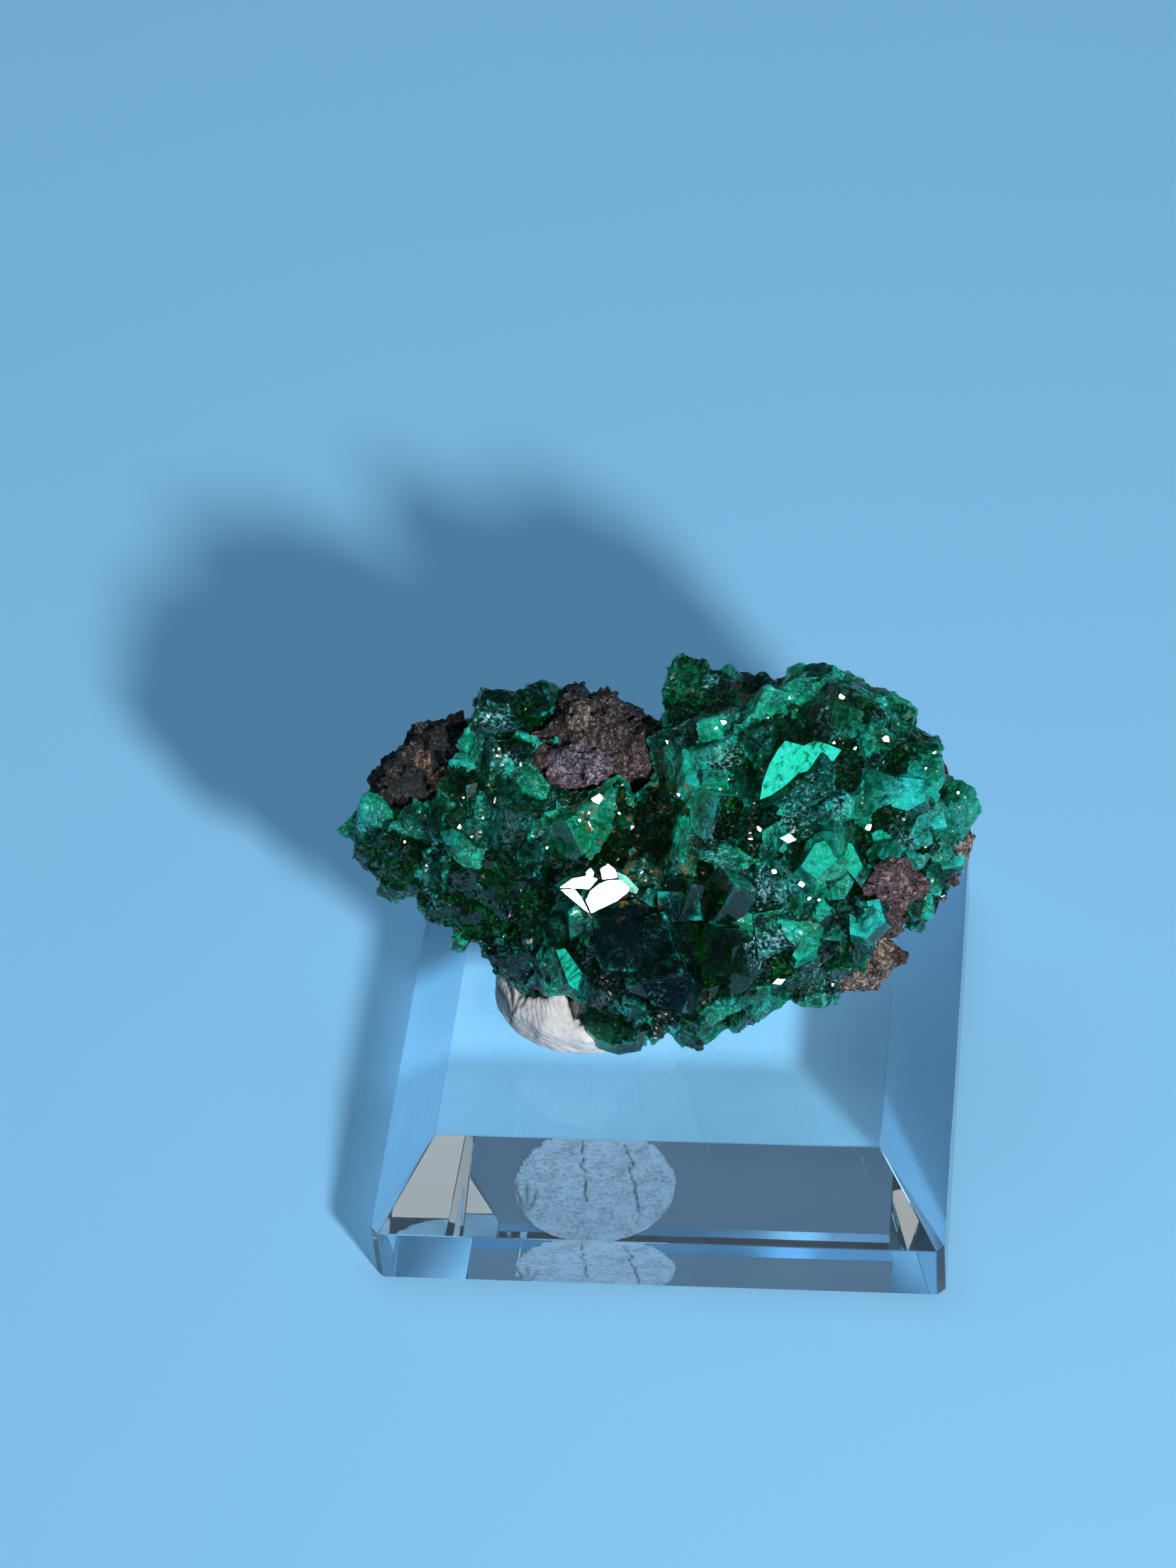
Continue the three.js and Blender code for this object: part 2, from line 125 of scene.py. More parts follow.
class NodeSheet:
    """A shader or geometry node tree being drawn."""

    def __init__(self, tree: bpy.types.NodeTree) -> None:
        """Keeps the tree that the nodes go into."""
        self.tree = tree

    def add(
        self,
        kind: str,
        settings: Mapping[str, object] | None = None,
        sockets: Mapping[str | int, object] | None = None,
        out: str | int = 0,
    ) -> Wire:
        """Adds one node.

        Args:
            kind: the node's type.
            settings: the node's own properties, set first; "stops" holds a colour ramp's stops.
            sockets: the values or wires of its inputs, by name or number.
            out: which output is returned, by name or number.

        Returns:
            The chosen output.
        """
        node = self.tree.nodes.new(kind)
        for name, value in (settings or {}).items():
            if name == "stops":
                self._set_stops(node.color_ramp, value)
            else:
                setattr(node, name, value)
        for key, value in (sockets or {}).items():
            target = self._find(node.inputs, key)
            if isinstance(value, Wire):
                self.tree.links.new(value.socket, target)
            else:
                target.default_value = value
        if not len(node.outputs):
            return Wire(self, node.inputs[0])
        return Wire(self, self._find(node.outputs, out))

    @staticmethod
    def _find(sockets: bpy.types.bpy_prop_collection, key: str | int) -> bpy.types.NodeSocket:
        """Finds a socket: the one with that number, or the one in use with that name.

        Args:
            sockets: the node's inputs or outputs.
            key: the socket's name or number.

        Returns:
            The socket.
        """
        if isinstance(key, int):
            return sockets[key]
        return next(s for s in sockets if s.name == key and s.enabled)

    @staticmethod
    def _set_stops(ramp: bpy.types.ColorRamp, stops: Sequence[tuple[float, Colour]]) -> None:
        """Gives a colour ramp its stops.

        Args:
            ramp: the colour ramp.
            stops: a position and a colour for each stop, from 0 to 1.
        """
        while len(ramp.elements) < len(stops):
            ramp.elements.new(1.0)
        for element, (position, colour) in zip(ramp.elements, stops):
            element.position = position
            element.color = (*colour, 1.0)

    def blend(self, share: Wire | float, first: Wire | Colour, second: Wire | Colour) -> Wire:
        """A mix of two colours, with that share of the second."""
        sockets = {"Factor": share, "A": self._colour(first), "B": self._colour(second)}
        return self.add("ShaderNodeMix", {"data_type": "RGBA"}, sockets, "Result")

    @staticmethod
    def _colour(value: Wire | Colour) -> Wire | tuple[float, ...]:
        """A colour with its alpha, or the wire as it is."""
        return value if isinstance(value, Wire) else (*value, 1.0)

    def vectors(self, operation: str, sockets: Mapping[str | int, object], out: str = "Vector") -> Wire:
        """What a Vector Math node makes of its sockets."""
        return self.add("ShaderNodeVectorMath", {"operation": operation}, sockets, out)


class Shade(NodeSheet):
    """The node tree of one material."""

    def __init__(self, name: str) -> None:
        """Makes the material and its Object coordinates.

        Args:
            name: the material's name.
        """
        self.material = bpy.data.materials.new(name)
        self.material.use_nodes = True
        super().__init__(self.material.node_tree)
        self.tree.nodes.clear()
        self.place = self.add("ShaderNodeTexCoord", out="Object")

    def noise(self, size: float, detail: float = 3.0, rough: float = 0.5, warp: float = 0.0) -> Wire:
        """Cloudy noise from 0 to 1: its clouds' width in mm, its octaves, their roughness and whorls."""
        sockets = {"Vector": self.place, "Scale": 1 / (size * MM), "Detail": detail, "Roughness": rough}
        return self.add("ShaderNodeTexNoise", {}, {**sockets, "Distortion": warp}, "Fac")

    def streaks(self, size: float, turned: Point, drawn: float) -> Wire:
        """Noise drawn out into streaks.

        Args:
            size: the width of a streak, in millimetres.
            turned: how the streaks' direction is turned away from X, as angles in radians.
            drawn: how many times longer than wide they are.

        Returns:
            A value from 0 to 1, mostly near the middle.
        """
        sockets = {"Vector": self.place, "Rotation": turned, "Scale": (drawn, 1.0, 1.0)}
        along = self.add("ShaderNodeMapping", {"vector_type": "TEXTURE"}, sockets, "Vector")
        sockets = {"Vector": along, "Scale": 1 / (size * MM), "Detail": 4.0, "Roughness": 0.6}
        return self.add("ShaderNodeTexNoise", {}, {**sockets, "Distortion": 0.7}, "Fac")

    def cells(self, size: float, feature: str = "F1", out: str = "Distance") -> Wire:
        """A Voronoi feature of cells that are so many millimetres wide."""
        sockets = {"Vector": self.place, "Scale": 1 / (size * MM)}
        return self.add("ShaderNodeTexVoronoi", {"feature": feature}, sockets, out)

    def distance(self, centre: Vector) -> Wire:
        """How far the surface lies from a point of the row frame given in millimetres, in metres."""
        return self.vectors("DISTANCE", {0: self.place, 1: tuple(centre * MM)}, "Value")

    def within(self, centre: Vector, radius: float, soft: float = 0.6) -> Wire:
        """1 inside a ball and 0 outside, fading over a share of its radius, in millimetres."""
        return self.distance(centre).rise(radius * MM, radius * MM * (1 - soft))

    def attribute(self, name: str) -> Wire:
        """A number stored on the mesh."""
        return self.add("ShaderNodeAttribute", {"attribute_name": name}, out="Fac")

    def ramp(self, value: Wire, stops: Sequence[tuple[float, Colour]]) -> Wire:
        """The colour that a ramp gives for a value."""
        return self.add("ShaderNodeValToRGB", {"stops": stops}, {"Fac": value}, "Color")

    def bump(self, height: Wire, depth: float, strength: float = 1.0) -> Wire:
        """A normal bent by a relief from 0 to 1, its depth in mm, and how much of it shows."""
        sockets = {"Strength": strength, "Distance": depth * MM, "Height": height}
        return self.add("ShaderNodeBump", {}, sockets, "Normal")

    def principled(self, sockets: Mapping[str, object]) -> Wire:
        """A Principled shader with those inputs."""
        return self.add("ShaderNodeBsdfPrincipled", {}, sockets, "BSDF")

    def finished(self, surface: Wire, volume: Wire | None = None) -> bpy.types.Material:
        """Wires the material's output.

        Args:
            surface: the surface shader.
            volume: the volume shader, where there is one.

        Returns:
            The material.
        """
        sockets = {"Surface": surface} if volume is None else {"Surface": surface, "Volume": volume}
        self.add("ShaderNodeOutputMaterial", {}, sockets)
        return self.material


@dataclass(frozen=True)
class ClearAcrylic:
    """Polished clear acrylic with faint handling scratches.

    Its level faces let the lamps' light through, its front ones about half of it, and its other slanted ones
    turn most of it away, as the mesh's "level" attribute says.
    """

    ior: float = 1.49
    absorbed: Colour = (0.90, 0.97, 0.99)
    density: float = 26.0
    flat: Colour = (1.0, 1.0, 1.0)
    # Tint of the slanted faces, darker blue as painted shade
    slanted: Colour = (0.50, 0.66, 0.84)
    passed: Colour = (0.84, 0.93, 0.95)
    clearness: float = 0.988
    haze_size: float = 9.0
    haze_roughness: float = 0.012
    scratch_spacing: float = 6.5
    scratch_roughness: float = 0.22

    def material(self) -> bpy.types.Material:
        """The clear acrylic's material.

        Returns:
            The material.
        """
        shade = Shade("clear_acrylic")
        level = shade.attribute("level")
        haze = shade.noise(self.haze_size, 4.0, 0.6, 0.8).rise(0.62, 0.80)
        scratch = shade.cells(self.scratch_spacing, "DISTANCE_TO_EDGE").rise(0.006, 0.0)
        scratch = scratch * shade.noise(3.0, 2.0).rise(0.60, 0.68)
        glass = shade.principled({
            # Slanted faces tinted darker blue, front faces partly, as painted shade
            "Base Color": shade.blend(level.rise(0.2, 0.8), self.slanted, self.flat),
            "Roughness": (haze * self.haze_roughness + scratch * self.scratch_roughness).clamped(),
            "IOR": self.ior,
            "Transmission Weight": self.clearness,
        })
        clear = shade.add("ShaderNodeBsdfTransparent", {}, {"Color": (*self.passed, 1.0)})
        passing = shade.add("ShaderNodeMixShader", {}, {0: level, 1: glass, 2: clear})
        from_lamp = shade.add("ShaderNodeLightPath", out="Is Shadow Ray")
        surface = shade.add("ShaderNodeMixShader", {}, {0: from_lamp, 1: glass, 2: passing})
        sockets = {"Color": (*self.absorbed, 1.0), "Density": self.density}
        return shade.finished(surface, shade.add("ShaderNodeVolumeAbsorption", {}, sockets))


@dataclass(frozen=True)
class PressedPutty:
    """Chalky grey-white putty, hand pressed, with painted shade in its creases and cracks and a contact disc
    painted lighter as painted light.
    """

    light: Colour = (0.74, 0.72, 0.72)
    shade: Colour = (0.44, 0.43, 0.44)
    crease: Colour = (0.03, 0.035, 0.04)
    print_dark: Colour = (0.50, 0.49, 0.50)
    print_painted_light: Colour = (0.97, 0.95, 0.95)
    flow_round: Point = (-6.8, -11.8, 24.5)
    flow_every: float = 0.42
    flow_wander: float = 3.0
    cloud_size: float = 3.5
    grain_size: float = 0.35
    print_grain: float = 0.34
    print_patch: float = 1.6
    relief: float = 0.14

    def material(self) -> bpy.types.Material:
        """The putty's material.

        Returns:
            The material.
        """
        shade = Shade("pressed_putty")
        cloud = shade.noise(self.cloud_size, 5.0, 0.6)
        grain = shade.noise(self.grain_size, 4.0, 0.7)
        painted_crease_shade = shade.attribute("crease")
        wander = (shade.noise(4.0, 3.0, 0.5) - 0.5) * (self.flow_wander * MM)
        away = shade.distance(Vector(self.flow_round)) + wander
        flow = (away * (math.tau / (self.flow_every * MM))).sine() * 0.5 + 0.5
        flow = flow * shade.noise(2.0, 3.0).rise(0.35, 0.65)
        tone = shade.blend((cloud * 0.7 + grain * 0.5).rise(0.35, 0.85), self.shade, self.light)
        # The contact disc on the block is mottled, and painted lighter than the rest as painted light shining
        # through the block
        mottle = shade.noise(self.print_grain, 3.0, 0.7) * 0.65 + shade.noise(self.print_patch) * 0.35
        pressed = shade.blend(mottle.rise(0.37, 0.58), self.print_dark, self.print_painted_light)
        tone = shade.blend(shade.attribute("pressed"), tone, pressed)
        surface = shade.principled({
            # Painted shade in the folds and along the cracks
            "Base Color": shade.blend(painted_crease_shade.clamped(), tone, self.crease),
            "Roughness": (0.75 + grain * 0.25).clamped(),
            "IOR": 1.48,
            "Normal": shade.bump(grain * 0.35 + cloud * 0.3 + flow * 0.35, self.relief, 0.8),
        })
        return shade.finished(surface)


class RockTone(Enum):
    """The colours of the rock: a dark and a light one for each kind of surface."""

    RUST = ((0.016, 0.008, 0.006), (0.130, 0.080, 0.062))
    BROWN = ((0.002, 0.001, 0.001), (0.185, 0.125, 0.122))
    SOOT = ((0.002, 0.001, 0.001), (0.050, 0.027, 0.027))
    MAUVE = ((0.018, 0.012, 0.018), (0.360, 0.290, 0.370))
    BLACK = ((0.0005, 0.002, 0.004), (0.010, 0.026, 0.030))
    INK = ((0.0005, 0.003, 0.007), (0.006, 0.030, 0.040))
    PLUM = ((0.016, 0.008, 0.010), (0.300, 0.170, 0.190))
    ORANGE = ((0.030, 0.012, 0.006), (0.560, 0.320, 0.210))
    TAN = ((0.020, 0.014, 0.012), (0.460, 0.350, 0.290))


@dataclass(frozen=True)
class RockZone:
    """A place where the rock has another tone: its centre on the display face, and its radius."""

    at: Point
    radius: float
    tone: RockTone


@dataclass(frozen=True)
class StainedRock:
    """Rough iron-stained rock with granular sparkle."""

    ground: RockTone = RockTone.RUST
    grain_size: float = 0.42
    blotch_size: float = 2.6
    relief: float = 0.22
    veined: tuple[Point, float] = ((-20.5, 7.0, 0.0), 9.5)
    vein: Colour = (0.34, 0.20, 0.13)
    crack: Colour = (0.004, 0.003, 0.004)
    speck: Colour = (0.44, 0.36, 0.40)
    zones: tuple[RockZone, ...] = (
        RockZone((-20.5, 7.0, 0.0), 9.5, RockTone.BLACK),
        RockZone((-6.2, 10.5, 2.0), 7.5, RockTone.BROWN),
        RockZone((-2.4, 11.4, 2.0), 3.4, RockTone.SOOT),
        RockZone((-7.2, 8.0, 6.0), 4.2, RockTone.MAUVE),
        RockZone((-7.6, 12.4, 4.2), 2.2, RockTone.TAN),
        RockZone((-7.6, 15.6, 0.6), 3.2, RockTone.INK),
        RockZone((-3.2, 14.0, -1.0), 3.4, RockTone.INK),
        RockZone((-22.0, 8.4, 2.0), 1.5, RockTone.ORANGE),
        RockZone((-20.8, 7.0, 2.2), 1.6, RockTone.ORANGE),
        RockZone((-19.6, 5.6, 2.4), 2.0, RockTone.ORANGE),
        RockZone((20.8, -2.8, 6.2), 5.0, RockTone.PLUM),
        RockZone((17.4, -8.6, -0.6), 4.8, RockTone.TAN),
        RockZone((26.0, 3.0, -2.0), 5.0, RockTone.TAN),
    )

    def material(self) -> bpy.types.Material:
        """The rock's material.

        Returns:
            The material.
        """
        shade = Shade("stained_rock")
        grain = shade.noise(self.grain_size, 4.0, 0.70, 0.6)
        blotch = shade.noise(self.blotch_size, 5.0, 0.6, 0.8)
        edge = (blotch - 0.5) * 1.1
        crumb = shade.cells(self.grain_size, out="Color")
        hollow = shade.cells(self.grain_size)
        worm = abs(shade.noise(0.55, 2.0, 0.5, 1.4) - 0.5).rise(0.05, 0.0)
        # Lighter on grains and darker in the hollows between them; the darkening in hollows is painted shade
        light = (grain * 0.45 + crumb * 0.45 + blotch * 0.35 - hollow * 0.30).rise(0.40, 0.78)
        light = (light * 0.8 + worm * 0.5).clamped()
        colour = shade.blend(light, *self.ground.value)
        for zone in self.zones:
            near = (shade.within(on_face(zone.at), zone.radius, 0.7) + edge).rise(0.35, 0.60)
            colour = shade.blend(near, colour, shade.blend(light, *zone.tone.value))
        crack = abs(shade.noise(1.3, 4.0, 0.6, 1.2) - 0.5).rise(0.030, 0.004)
        colour = shade.blend(crack * 0.8, colour, self.crack)
        vein = abs(shade.noise(1.5, 3.0, 0.5, 1.6) - 0.5).rise(0.018, 0.0) * blotch.rise(0.46, 0.60)
        veined_at, veined_radius = on_face(self.veined[0]), self.veined[1]
        vein = vein * shade.within(veined_at, veined_radius, 0.4)
        colour = shade.blend(vein * 0.8, colour, self.vein)
        speck = shade.noise(0.30, 2.0, 0.5).rise(0.62, 0.70)
        dark = shade.within(veined_at, veined_radius, 0.3)
        colour = shade.blend(speck * (0.5 - dark * 0.4), colour, self.speck)
        surface = shade.principled({
            "Base Color": colour,
            "Roughness": (0.85 - speck * 0.5).clamped(),
            "IOR": 1.55,
            "Normal": shade.bump(grain * 0.5 + blotch * 0.4 - hollow * 0.8, self.relief, 0.9),
        })
        return shade.finished(surface)


@dataclass(frozen=True)
class DioptaseGlass:
    """Glassy emerald dioptase, partly clear and partly clouded by inner veils, sugary coats and fractures."""

    ior: float = 1.66
    clear: Colour = (0.30, 0.95, 0.62)
    absorbed: Colour = (0.02, 0.86, 0.54)
    density: float = 900.0
    veiled_gloss: float = 0.2
    clear_gloss: float = 0.32
    sugar: Colour = (0.18, 0.42, 0.48)
    # Colour of the painted highlights along ridges and of the fine pale lines
    edges: Colour = (0.015, 0.420, 0.430)
    painted_sparkle: Colour = (0.100, 0.560, 0.660)
    drawn_light: Colour = (0.060, 0.720, 0.620)
    ochre: Colour = (0.24, 0.15, 0.040)
    ochre_at: Point = (-2.0, 2.0, 7.0)
    ochre_radius: float = 9.0
    cloud_size: float = 4.0
    whorl_size: float = 1.3
    grit_size: float = 0.34
    streak_width: float = 0.55
    streak_drawn: float = 4.0
    streak_turned: Point = (0.0, -0.65, 0.60)
    hue_shift: float = -0.26
    veiled_relief: float = 0.09
    clear_relief: float = 0.05
    tones: tuple[tuple[float, Colour], ...] = (
        (0.00, (0.0004, 0.0050, 0.0055)),
        (0.24, (0.0008, 0.0300, 0.0170)),
        (0.42, (0.0012, 0.0900, 0.0380)),
        (0.60, (0.0025, 0.1900, 0.0800)),
        (0.78, (0.0040, 0.3100, 0.1700)),
        (1.00, (0.0060, 0.5600, 0.3200)),
    )
    teals: tuple[tuple[float, Colour], ...] = (
        (0.00, (0.0004, 0.0065, 0.0110)),
        (0.24, (0.0008, 0.0300, 0.0310)),
        (0.42, (0.0014, 0.0900, 0.0800)),
        (0.60, (0.0030, 0.1900, 0.1700)),
        (0.78, (0.0060, 0.3300, 0.3100)),
        (1.00, (0.0120, 0.6200, 0.5200)),
    )

    def material(self) -> bpy.types.Material:
        """The dioptase's material.

        Returns:
            The material.
        """
        shade = Shade("dioptase_glass")
        cloud = shade.noise(self.cloud_size, 2.0, 0.5, 0.4)
        whorl = shade.noise(self.whorl_size, 6.0, 0.62, 1.8)
        grit = shade.noise(self.grit_size, 3.0, 0.62)
        streak = shade.streaks(self.streak_width, self.streak_turned, self.streak_drawn)
        facet, glow, sugar, bend = map(shade.attribute, ("facet", "glow", "sugar", "bend"))
        # How light each place is, from facet to facet and in clouds and whorls; the faces' glow adds painted
        # light on bright faces and painted shade on dark ones, the patches add their own tone with painted
        # light and shade, and bend adds painted shade in hollows and painted highlights on ridges
        tone = 0.16 + cloud * 0.34 + facet * 0.40 + (whorl - 0.5) * 0.90 + (grit - 0.5) * 0.36
        tone = tone * (1 - glow.rise(0.04, 0.16) * 0.5) + sugar * 0.12
        tone = tone + ((streak - 0.5) * 2.6 + (whorl - 0.5) * 1.2) * abs(glow)
        tone = (tone + glow + shade.attribute("tone") - bend * 0.9).clamped()
        # From green at 0 to teal at 1
        hue = shade.attribute("teal") + shade.attribute("hue") + (shade.noise(3.2, 3.0) - 0.5) * 2.2
        hue = hue + (grit - 0.5) * 1.6 + self.hue_shift
        colour = shade.blend(hue.clamped(), shade.ramp(tone, self.tones), shade.ramp(tone, self.teals))
        # Pale lines, painted highlights along ridges, frost that is partly the crystals' own frosting and
        # partly painted sparkle, and painted sparkle flecks over it, stronger where it is light
        line = abs(shade.noise(1.7, 4.0, 0.6, 2.6) - 0.5).rise(0.018, 0.0) * cloud.rise(0.40, 0.56)
        fine_line = abs(shade.noise(0.8, 3.0, 0.6, 1.8) - 0.5).rise(0.030, 0.0)
        fine_line = fine_line * shade.noise(2.4, 2.0).rise(0.44, 0.58)
        plain = (1 - abs(glow)).clamped()
        lit = tone.rise(0.04, 0.50)
        colour = shade.blend(line * plain * (0.1 + lit * 0.4), colour, self.sugar)
        # Bright streaks drawn over the faces that carry painted light
        drawn_line = abs(streak - 0.52).rise(0.022, 0.0) * glow.rise(0.1, 0.4)
        colour = shade.blend(drawn_line * 0.7, colour, self.drawn_light)
        # Painted highlights along ridges, where the surface bends outward, together with fine pale lines
        ridge = (bend.rise(-0.10, -0.24) * whorl.rise(0.44, 0.54) + fine_line).clamped()
        colour = shade.blend(ridge * plain * (0.03 + lit * 0.65), colour, self.edges)
        # Frost: partly the crystals' own frosted coat, partly painted sparkle
        frost_and_sparkle = (grit + sugar * 0.13).rise(0.61, 0.73) * (cloud + sugar * 0.4).rise(0.46, 0.62) * plain
        colour = shade.blend(frost_and_sparkle * (0.25 + lit * 0.60), colour, self.sugar)
        # Painted sparkle: bright flecks standing for glints of tiny facets
        painted_sparkle_share = shade.noise(0.30, 1.0).rise(0.64, 0.70) * cloud.rise(0.42, 0.55)
        colour = shade.blend(painted_sparkle_share * (0.03 + lit * 0.87), colour, self.painted_sparkle)
        stained = shade.within(on_face(self.ochre_at), self.ochre_radius, 0.5)
        stained = shade.noise(1.1, 4.0, 0.7).rise(0.56, 0.62) * stained
        colour = shade.blend(stained * 0.9, colour, self.ochre)
        relief = whorl * 0.55 + shade.noise(0.5, 3.0, 0.6) * 0.3 + frost_and_sparkle * 0.5
        veiled = shade.principled({
            "Base Color": colour,
            "Roughness": (0.12 + whorl * 0.24 + frost_and_sparkle * 0.25).clamped(),
            "IOR": self.ior,
            "Specular IOR Level": self.veiled_gloss,
            "Normal": shade.bump(relief, self.veiled_relief, 0.30),
        })
        glassy = shade.principled({
            "Base Color": (*self.clear, 1.0),
            "Roughness": (whorl * 0.10).clamped(),
            "IOR": self.ior,
            "Specular IOR Level": self.clear_gloss,
            "Transmission Weight": 1.0,
            "Normal": shade.bump(relief, self.clear_relief, 0.16),
        })
        # How much of each place is clouded by veils, the rest being clear
        share = 0.56 + (whorl - 0.5) * 1.2 + abs(glow) * 1.3 + frost_and_sparkle * 0.7 + line * 0.4 + (facet - 0.5) * 0.4
        surface = shade.add("ShaderNodeMixShader", {}, {0: share.clamped(), 1: glassy, 2: veiled})
        sockets = {"Color": (*self.absorbed, 1.0), "Density": self.density}
        return shade.finished(surface, shade.add("ShaderNodeVolumeAbsorption", {}, sockets))


@dataclass(frozen=True)
class PaleFloor:
    """A plain pale blue table."""

    colour: Colour = (0.24, 0.53, 0.78)
    roughness: float = 0.62
    patch_size: float = 30.0

    def material(self) -> bpy.types.Material:
        """The floor's material.

        Returns:
            The material.
        """
        shade = Shade("pale_floor")
        surface = shade.principled({
            "Base Color": (*self.colour, 1.0),
            "Roughness": (self.roughness + shade.noise(self.patch_size) * 0.1).clamped(),
        })
        return shade.finished(surface)


def merged_copy(node: str, name: str) -> bpy.types.Object:
    """A copy of a CAD node's mesh with its loose triangles joined.

    Args:
        node: the CAD node's name.
        name: the new object's name.

    Returns:
        The new object, linked to the scene.
    """
    work = bmesh_of(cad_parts[node])
    bmesh.ops.remove_doubles(work, verts=work.verts, dist=SAME_CORNER * MM)
    return object_from(work, name)


def bmesh_of(piece: bpy.types.Object) -> bmesh.types.BMesh:
    """A bmesh with a copy of an object's mesh.

    Args:
        piece: the object with the mesh.

    Returns:
        The BMesh, in metres; whoever asked for it frees it.
    """
    work = bmesh.new()
    work.from_mesh(piece.data)
    return work


def object_from(work: bmesh.types.BMesh, name: str) -> bpy.types.Object:
    """Turns a bmesh into an object, and frees it.

    Args:
        work: the bmesh.
        name: the new object's name.

    Returns:
        The object, at the origin and linked to the scene.
    """
    mesh = bpy.data.meshes.new(name)
    work.to_mesh(mesh)
    work.free()
    piece = bpy.data.objects.new(name, mesh)
    bpy.context.scene.collection.objects.link(piece)
    return piece


def settle(piece: bpy.types.Object) -> bpy.types.Object:
    """Turns an object's modifiers into plain mesh, and takes them off.

    Args:
        piece: the object.

    Returns:
        The same object.
    """
    shapes = bpy.context.evaluated_depsgraph_get()
    shapes.update()
    mesh = bpy.data.meshes.new_from_object(piece.evaluated_get(shapes))
    piece.modifiers.clear()
    old = piece.data
    mesh.name = piece.name
    piece.data = mesh
    bpy.data.meshes.remove(old)
    return piece


class Joining(Enum):
    """How two solids become one."""

    UNION = "UNION"
    INTERSECT = "INTERSECT"


def combine(
    piece: bpy.types.Object, other: bpy.types.Object, how: Joining = Joining.UNION
) -> bpy.types.Object:
    """Combines another closed mesh with a piece, and removes it.

    Args:
        piece: the solid that stays.
        other: the solid that it is combined with.
        how: which solid results.

    Returns:
        The piece.
    """
    joint = piece.modifiers.new("joint", "BOOLEAN")
    joint.operation = how.value
    joint.solver = "MANIFOLD"
    joint.object = other
    settle(piece)
    drop(other)
    return piece


def even_mesh(piece: bpy.types.Object, step: float, smoothing: int = 0) -> bpy.types.Object:
    """Gives a solid a new even mesh.

    Args:
        piece: the solid.
        step: the size of the mesh's squares, in millimetres.
        smoothing: how many times its corners are rounded.

    Returns:
        The piece.
    """
    even = piece.modifiers.new("even", "REMESH")
    even.mode = "VOXEL"
    even.voxel_size = step * MM
    if smoothing:
        rounder = piece.modifiers.new("rounder", "SMOOTH")
        rounder.iterations = smoothing
    return settle(piece)


@dataclass(frozen=True)
class Shards:
    """Flat broken facets of one size: their width, how steeply they lean, how far they step, and a seed.

    The keys spread the facets' centres apart, so that each facet draws a lean and a step of its own.
    """

    width: float
    lean: float
    step: float
    seed: float
    lean_key: float = 37.0
    step_key: float = 53.0

    def at(self, place: Vector) -> tuple[float, float]:
        """The facets at a place.

        Args:
            place: the place, in millimetres.

        Returns:
            How far the surface stands out there, in millimetres, and the facet's own number from 0 to 1.
        """
        moved = place / self.width + Vector((self.seed, -self.seed, 2 * self.seed))
        centre = noise.voronoi(moved)[1][0]
        slope = noise.cell_vector(centre * self.lean_key) * 2 - Vector((1, 1, 1))
        own = noise.cell(centre * self.step_key)
        return self.lean * slope.dot(moved - centre) * self.width + self.step * (own - 0.5), own


def drop(piece: bpy.types.Object) -> None:
    """Removes a helper object and its mesh.

    Args:
        piece: the object.
    """
    mesh = piece.data
    bpy.data.objects.remove(piece)
    bpy.data.meshes.remove(mesh)


def move_points(piece: bpy.types.Object, shift: Callable[[Vector, Vector], Vector]) -> None:
    """Moves every vertex of a mesh.

    Args:
        piece: the object whose mesh changes.
        shift: gives a vertex's new place from its place and normal, all in millimetres.
    """
    normals = [v.normal.copy() for v in piece.data.vertices]
    for vertex, normal in zip(piece.data.vertices, normals):
        vertex.co = shift(vertex.co / MM, normal) * MM
    piece.data.update()


def numbers(
    items: bpy.types.bpy_prop_collection, what: str, width: int = 1, kind: type = np.float32
) -> np.ndarray:
    """One property of a mesh's points, edges, corners or faces.

    Args:
        items: the points, edges, corners or faces.
        what: the property's name.
        width: how many numbers it has for each item.
        kind: the type of the numbers.

    Returns:
        A number for each item, or a row of them where there are several.
    """
    values = np.empty(len(items) * width, kind)
    items.foreach_get(what, values)
    return values if width == 1 else values.reshape(-1, width)


def store(mesh: bpy.types.Mesh, domain: str, values: Mapping[str, Sequence[float] | np.ndarray]) -> None:
    """Stores numbers on a mesh for its material to read.

    Args:
        mesh: the mesh.
        domain: POINT or FACE.
        values: the attributes by name, with a number for each point or face.
    """
    for name, row in values.items():
        mark = mesh.attributes.new(name, "FLOAT", domain)
        mark.data.foreach_set("value", np.asarray(row, np.float32))


def search_tree(piece: bpy.types.Object) -> BVHTree:
    """A tree that finds the nearest place on a mesh, or where a ray meets it, whether it is hidden or not.

    Args:
        piece: the object with the mesh.

    Returns:
        The tree, in metres.
    """
    work = bmesh_of(piece)
    tree = BVHTree.FromBMesh(work)
    work.free()
    return tree


def triangles(piece: bpy.types.Object) -> int:
    """How many triangles a mesh has."""
    return sum(len(p.vertices) - 2 for p in piece.data.polygons)


def finish_piece(piece: bpy.types.Object, node: str, material: bpy.types.Material) -> bpy.types.Object:
    """Dresses a piece, fixes it to the body and lets it stand for its CAD node.

    Args:
        piece: the finished mesh.
        node: the CAD node that it replaces, whose material slot has the same name.
        material: its finish.

    Returns:
        The piece.
    """
    piece.data.materials.clear()
    piece.data.materials.append(material)
    piece.data.polygons.foreach_set("material_index", [0] * len(piece.data.polygons))
    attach(piece, BODY)
    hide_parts(node)
    return piece


